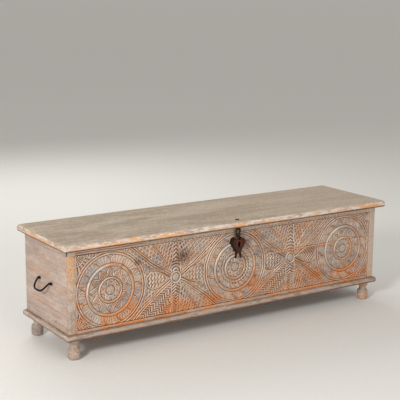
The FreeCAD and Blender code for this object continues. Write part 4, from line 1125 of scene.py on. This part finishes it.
def carving_tints(x, z, height):
    """How bare, warm and pale (with painted highlights) each point of the carving is, its painted shade in
    cuts, and its stains.
    """
    low_down = 1 - step_between(-153, -28, z - CENTRE_Z)
    small, fine = lumps(x, z, 44.0, 22), lumps(x, z, 19.0, 25)
    bare, warm, pale, hollow, recess = relief_tints(x, z, height, fine, small, low_down)
    tone = ring_tone(x, z)
    mottled = 0.4 + 0.6 * small
    # white lime on the upper left of the rings, partly a painted highlight
    lime_and_highlight = unit(1.7 * tone - 0.75) * (0.35 + 0.65 * small)
    pale = np.where(tone == 0, pale, pale * 0.3 + lime_and_highlight)
    bare += 0.5 * unit(-tone) - 0.4 * unit(tone)
    warm += 0.75 * unit(-tone - 0.2) * mottled
    bare *= 1 - 0.8 * recess
    rubbed = rubbed_share(x, z, 0.9 * (fine - 0.5))
    warm += 0.45 * rubbed
    bare += 0.35 * rubbed
    pale *= 1 - 0.6 * rubbed
    strip = z < field_bottom + MARGIN_HEIGHT - EDGE_CUT_HALF
    warm += 0.2 * strip
    bare += 0.25 * strip
    hollow += 0.14 * strip
    edge = (np.abs(z - seam_z + SEAM_BEAD_DROP) < SEAM_BEAD_HALF) & (x > 235) & (x < 590)
    warm = np.where(edge, 0.35 + 0.5 * fine, warm)
    bare = np.where(edge, 1.0, bare)
    return {"bare": unit(bare), "warm": unit(warm), "pale": unit(pale), "hollow": unit(hollow),
            "stain_and_shadow": stained_share(x, z)}


def board_outline(x, z, y, top_z, back_y):
    """Levels of points round one carved board, from its back at the bottom to its back at the top."""
    columns = x.shape[1]
    back = np.full(columns, back_y)
    levels = [(x[0], back, z[0])]
    levels += [(x[i], y[i], z[i]) for i in range(len(z))]
    if top_z > z.max() + 1:
        ledge = np.full(columns, facing_back_y + 0.3)
        levels.append((x[-1], ledge, z[-1] + 0.05))
        levels.append((x[-1], ledge, np.full(columns, top_z)))
    levels.append((x[-1], back, np.full(columns, top_z)))
    return np.array(levels).transpose(0, 2, 1)


def carved_boards():
    """The two carved boards, each in three lengths so that no mesh is too large."""
    lengths = 3
    columns = int(round((field_right - field_left) / GRID_STEP / lengths)) * lengths
    xs = np.linspace(field_left, field_right, columns + 1)
    gap = (upper_low[2] - board_high[2]) / 2
    for name, low_z, high_z, top_z in (
        ("front_lower_board", field_bottom, seam_z - gap, seam_z - gap),
        ("front_upper_board", seam_z + gap, field_top, upper_high[2]),
    ):
        rows = int(round((high_z - low_z) / GRID_STEP))
        x, z = np.meshgrid(xs, np.linspace(low_z, high_z, rows + 1))
        height = carving(x, z)
        tints = carving_tints(x, z, height)
        points = board_outline(x, z, front_y + GROUND_DEPTH - height, top_z, board_back_y)
        spread_tints = on_front(tints, points, rows)
        for part in range(lengths):
            first = columns // lengths * part
            last = columns // lengths * (part + 1) + 1
            board_length(f"{name}_carved_{part + 1}", name, points[:, first:last], rows,
                         {key: values[:, first:last] for key, values in spread_tints.items()})


def on_front(tints, points, rows):
    """Tints of the front's points, with zero for the rest of the outline."""
    spread_tints = {}
    for key, values in tints.items():
        spread_tints[key] = np.zeros(points.shape[:2])
        spread_tints[key][1:rows + 2] = values
    return spread_tints


def carved_rail():
    """The rail under the lid: two beads at its left end, the stars' gouge cuts over the rest."""
    columns = int(round((body_right - body_left) / GRID_STEP))
    rows = int(round((rail_high[2] - rail_low[2]) / GRID_STEP))
    x, z = np.meshgrid(np.linspace(body_left, body_right, columns + 1),
                       np.linspace(rail_low[2], rail_high[2], rows + 1))
    place_x, place_z = hand_cut(x, z)
    level = place_z - rail_low[2]
    beads = 5.4 * np.maximum(ridge(level - 4.8, 4.4), ridge(level - 16.0, 4.4)) - 0.4
    marks = gouged(place_x + 0.6 * level, level + 1.0, 12.5, 4.4, 3.8)
    height = beads + (marks - beads) * step_between(-480, -450, x)
    off_middle = np.abs(np.abs(place_x) - STAR_X)
    stack = cuts(place_z - CENTRE_Z + 0.75 * off_middle, 17.0, 5.2)
    height = np.where(off_middle < 19, stack, height)
    plain = (x < field_left) | (x > field_right)
    height = np.where(plain, GROUND_DEPTH - 0.3, height)
    height = np.clip(height + unevenness(x, z, 41), -CUT_DEPTH, GROUND_DEPTH)
    tints = carving_tints(x, z, height)
    # painted shadow of the lid along the top of the rail
    tints["stain_and_shadow"] = 0.95 * step_between(rail_high[2] - 8.5, rail_high[2] - 6.5, z)
    # painted light: the rail's tints are paled to lift the lid's shade on it
    tints["pale"] = unit(tints["pale"] + 0.35)
    tints["hollow"] = 0.6 * tints["hollow"]
    points = board_outline(x, z, front_y + GROUND_DEPTH - height, rail_high[2], facing_back_y)
    board_length("front_top_rail_carved", "front_top_rail", points, rows, on_front(tints, points, rows))


def board_length(name, node, points, rows, tints):
    """One length of a carved board, closed at both ends; its top, back and bottom are bare wood."""
    levels, columns = points.shape[:2]
    index = np.arange(levels * columns).reshape(levels, columns)
    around = np.vstack([index, index[:1]])
    quads = np.stack([around[:-1, :-1], around[:-1, 1:], around[1:, 1:], around[1:, :-1]], -1)
    raw = np.zeros(quads.shape[:2], int)
    raw[rows + 1:] = 1
    faces = quads.reshape(-1, 4).tolist() + [index[:, 0].tolist(), index[::-1, -1].tolist()]
    piece = make_object(name, points.reshape(-1, 3), faces, ("carved", "raw_x"), "carcass",
                        [node], raw.ravel().tolist() + [1, 1])
    keep_values(piece, **tints)


# Wooden parts

def front_frame():
    """The two stiles; the right one is limed over nearly everywhere."""
    for side, seed, limed in (("left", 103, 0.1), ("right", 105, 0.85)):
        stile = worn_board(f"front_{side}_stile", ("stile",), seed)
        keep_values(stile, limed=np.full(len(stile.data.vertices), limed))


def end_walls():
    """Three boards at each end; their inner sides are bare."""
    for side, raw_side, seed in (("left", 1, 111), ("right", 0, 121)):
        for level in ("bottom", "middle", "top"):
            seed += 2
            worn_board(f"{side}_end_{level}_board", ("end", "raw_y"), seed, (raw_side,))


PLAIN_FINISHES = (
    # a node's name or pattern, and the finish of the first that fits
    ("back_upper_board", "back"), ("corner_pegs", "end"),
    ("floor_nails", "end_nail"), ("batten_nails", "nail"), ("lock_nails", "nail"),
    ("floor_bearers", "raw_y"), ("*batten", "raw_y"), ("floor_*", "raw_x"),
    ("lock_cover", "lock"), ("lock_back_plate", "lock"), ("lock_*", "works"),
    ("hinge_*", "hinge"), ("hasp_*", "hasp"), ("*_handle_*", "handle"),
)


def plain_nodes():
    """Finishes of the nodes that keep their own shape."""
    for node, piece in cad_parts.items():
        key = next((key for pattern, key in PLAIN_FINISHES if fnmatchcase(node, pattern)), None)
        if key is None:
            continue
        slots = piece.data.materials
        if len(slots) == 0:
            slots.append(MATERIALS[key])
        for i in range(len(slots)):
            slots[i] = MATERIALS[key]


ARCH_DROP = 24.0


def key_arch():
    """Raised strip of iron round the top of the keyhole."""
    centre_x, centre_z = heart_middle, heart_high[2] - ARCH_DROP
    reach, leg, half, proud, sunk = 12.5, 20.0, 2.6, 1.6, 0.5
    turn = np.linspace(0, math.pi, 25)
    path = [(centre_x + reach, centre_z - leg), (centre_x + reach, centre_z - leg / 2)]
    path += [(centre_x + reach * math.cos(a), centre_z + reach * math.sin(a)) for a in turn]
    path += [(centre_x - reach, centre_z - leg / 2), (centre_x - reach, centre_z - leg)]
    section = [(-half, -sunk), (-half * 0.6, proud * 0.8), (0.0, proud), (half * 0.6, proud * 0.8),
               (half, -sunk)]
    points = []
    for x, z in path:
        out = Vector((x - centre_x, max(z - centre_z, 0.0))).normalized()
        for aside, up in section:
            points.append((x + out.x * aside, heart_low[1] - up, z + out.y * aside))
    wide = len(section)
    faces = [list(range(wide))[::-1], list(range(len(points) - wide, len(points)))]
    for i in range(len(path) - 1):
        for j in range(wide):
            k = (j + 1) % wide
            faces.append([i * wide + j, i * wide + k, (i + 1) * wide + k, (i + 1) * wide + j])
    make_object("lock_key_arch", points, faces, ("arch",), "carcass")


# Studio

FLOOR_REACH = 150.0
FOCAL_PIXELS, FRAME_PIXELS = 1022.86, 400.0
SENSOR = 36.0
LAMPS = (
    # name, place and size in metres, and watts
    ("key", (-4.6, -2.8, 2.7), 1.2, 190.0),
    ("fill", (-1.0, -5.0, 1.2), 2.0, 60.0),
    ("back", (0.5, 3.6, 3.0), 3.0, 60.0),
)


def floor():
    """Plain pale floor."""
    mesh = bpy.data.meshes.new("floor")
    corners = [(x * FLOOR_REACH, y * FLOOR_REACH, 0) for x, y in ((-1, -1), (1, -1), (1, 1), (-1, 1))]
    mesh.from_pydata(corners, [], [(0, 1, 2, 3)])
    f = Finish("floor_pale")
    grain = f.noise(60, EVEN, 3, 0.5)
    mesh.materials.append(f.end(f.coats(FLOOR_PALE, (LIME, grain, 0.3, 0.7, 0.05)), 0.85, grain, 0.0))
    put_in_scene("floor", mesh)


def surroundings():
    """Soft light from all round, and the plain backdrop that the camera and reflections show."""
    world = bpy.data.worlds.new("studio")
    bpy.context.scene.world = world
    world.use_nodes = True
    nodes = world.node_tree.nodes
    ambient, shown = nodes["Background"], nodes.new("ShaderNodeBackground")
    for node, colour, strength in ((ambient, (1.0, 0.985, 0.96, 1.0), 0.42),
                                   (shown, srgb(236, 233, 227), 1.0)):
        node.inputs["Color"].default_value = colour
        node.inputs["Strength"].default_value = strength
    path, either, choice = (nodes.new("ShaderNode" + kind) for kind in ("LightPath", "Math", "MixShader"))
    either.operation = "MAXIMUM"
    for source, socket in (
        (path.outputs["Is Camera Ray"], either.inputs[0]), (path.outputs["Is Glossy Ray"], either.inputs[1]),
        (either.outputs[0], choice.inputs["Fac"]), (ambient.outputs[0], choice.inputs[1]),
        (shown.outputs[0], choice.inputs[2]), (choice.outputs[0], nodes["World Output"].inputs["Surface"]),
    ):
        world.node_tree.links.new(source, socket)


def lamps():
    """Round area lights, turned to the chest."""
    target = Vector((0.0, 0.0, 0.3))
    for name, place, size, power in LAMPS:
        light = bpy.data.lights.new(name, "AREA")
        light.shape, light.size, light.energy = "DISK", size, power
        lamp = put_in_scene(name, light)
        lamp.location = place
        lamp.rotation_euler = (target - lamp.location).to_track_quat("-Z", "Y").to_euler()


def camera():
    """The photograph's point of view."""
    yaw, pitch, roll = 0.583, 0.205, 0.007
    lens = bpy.data.cameras.new("camera")
    lens.sensor_width = SENSOR
    lens.lens = FOCAL_PIXELS / FRAME_PIXELS * SENSOR
    lens.clip_end = 400.0
    seen_from = put_in_scene("camera", lens)
    seen_from.location = (-2.61735, -3.86932, 1.53601)
    forward = Vector((math.sin(yaw) * math.cos(pitch), math.cos(yaw) * math.cos(pitch), -math.sin(pitch)))
    seen_from.rotation_mode = "QUATERNION"
    seen_from.rotation_quaternion = forward.to_track_quat("-Z", "Y") @ Quaternion((0.0, 0.0, 1.0), roll)
    bpy.context.scene.camera = seen_from


plain_nodes()
carved_boards()
carved_rail()
front_frame()
end_walls()
worn_board("back_lower_board", ("back", "raw_x"), 131, (2,))
for number, place in enumerate(("front", "middle", "back")):
    lid_plank(f"lid_{place}_plank", 141 + 5 * number)
for number, place in enumerate(("front", "back", "left", "right")):
    base_member(f"base_{place}_moulding", place in ("front", "back"), 161 + 5 * number)
for number, place in enumerate(("front_left", "front_right", "back_left", "back_right")):
    turned_foot(f"foot_{place}", 181 + 5 * number)
key_arch()
floor()
surroundings()
lamps()
camera()
bpy.context.scene.view_settings.view_transform = "Standard"
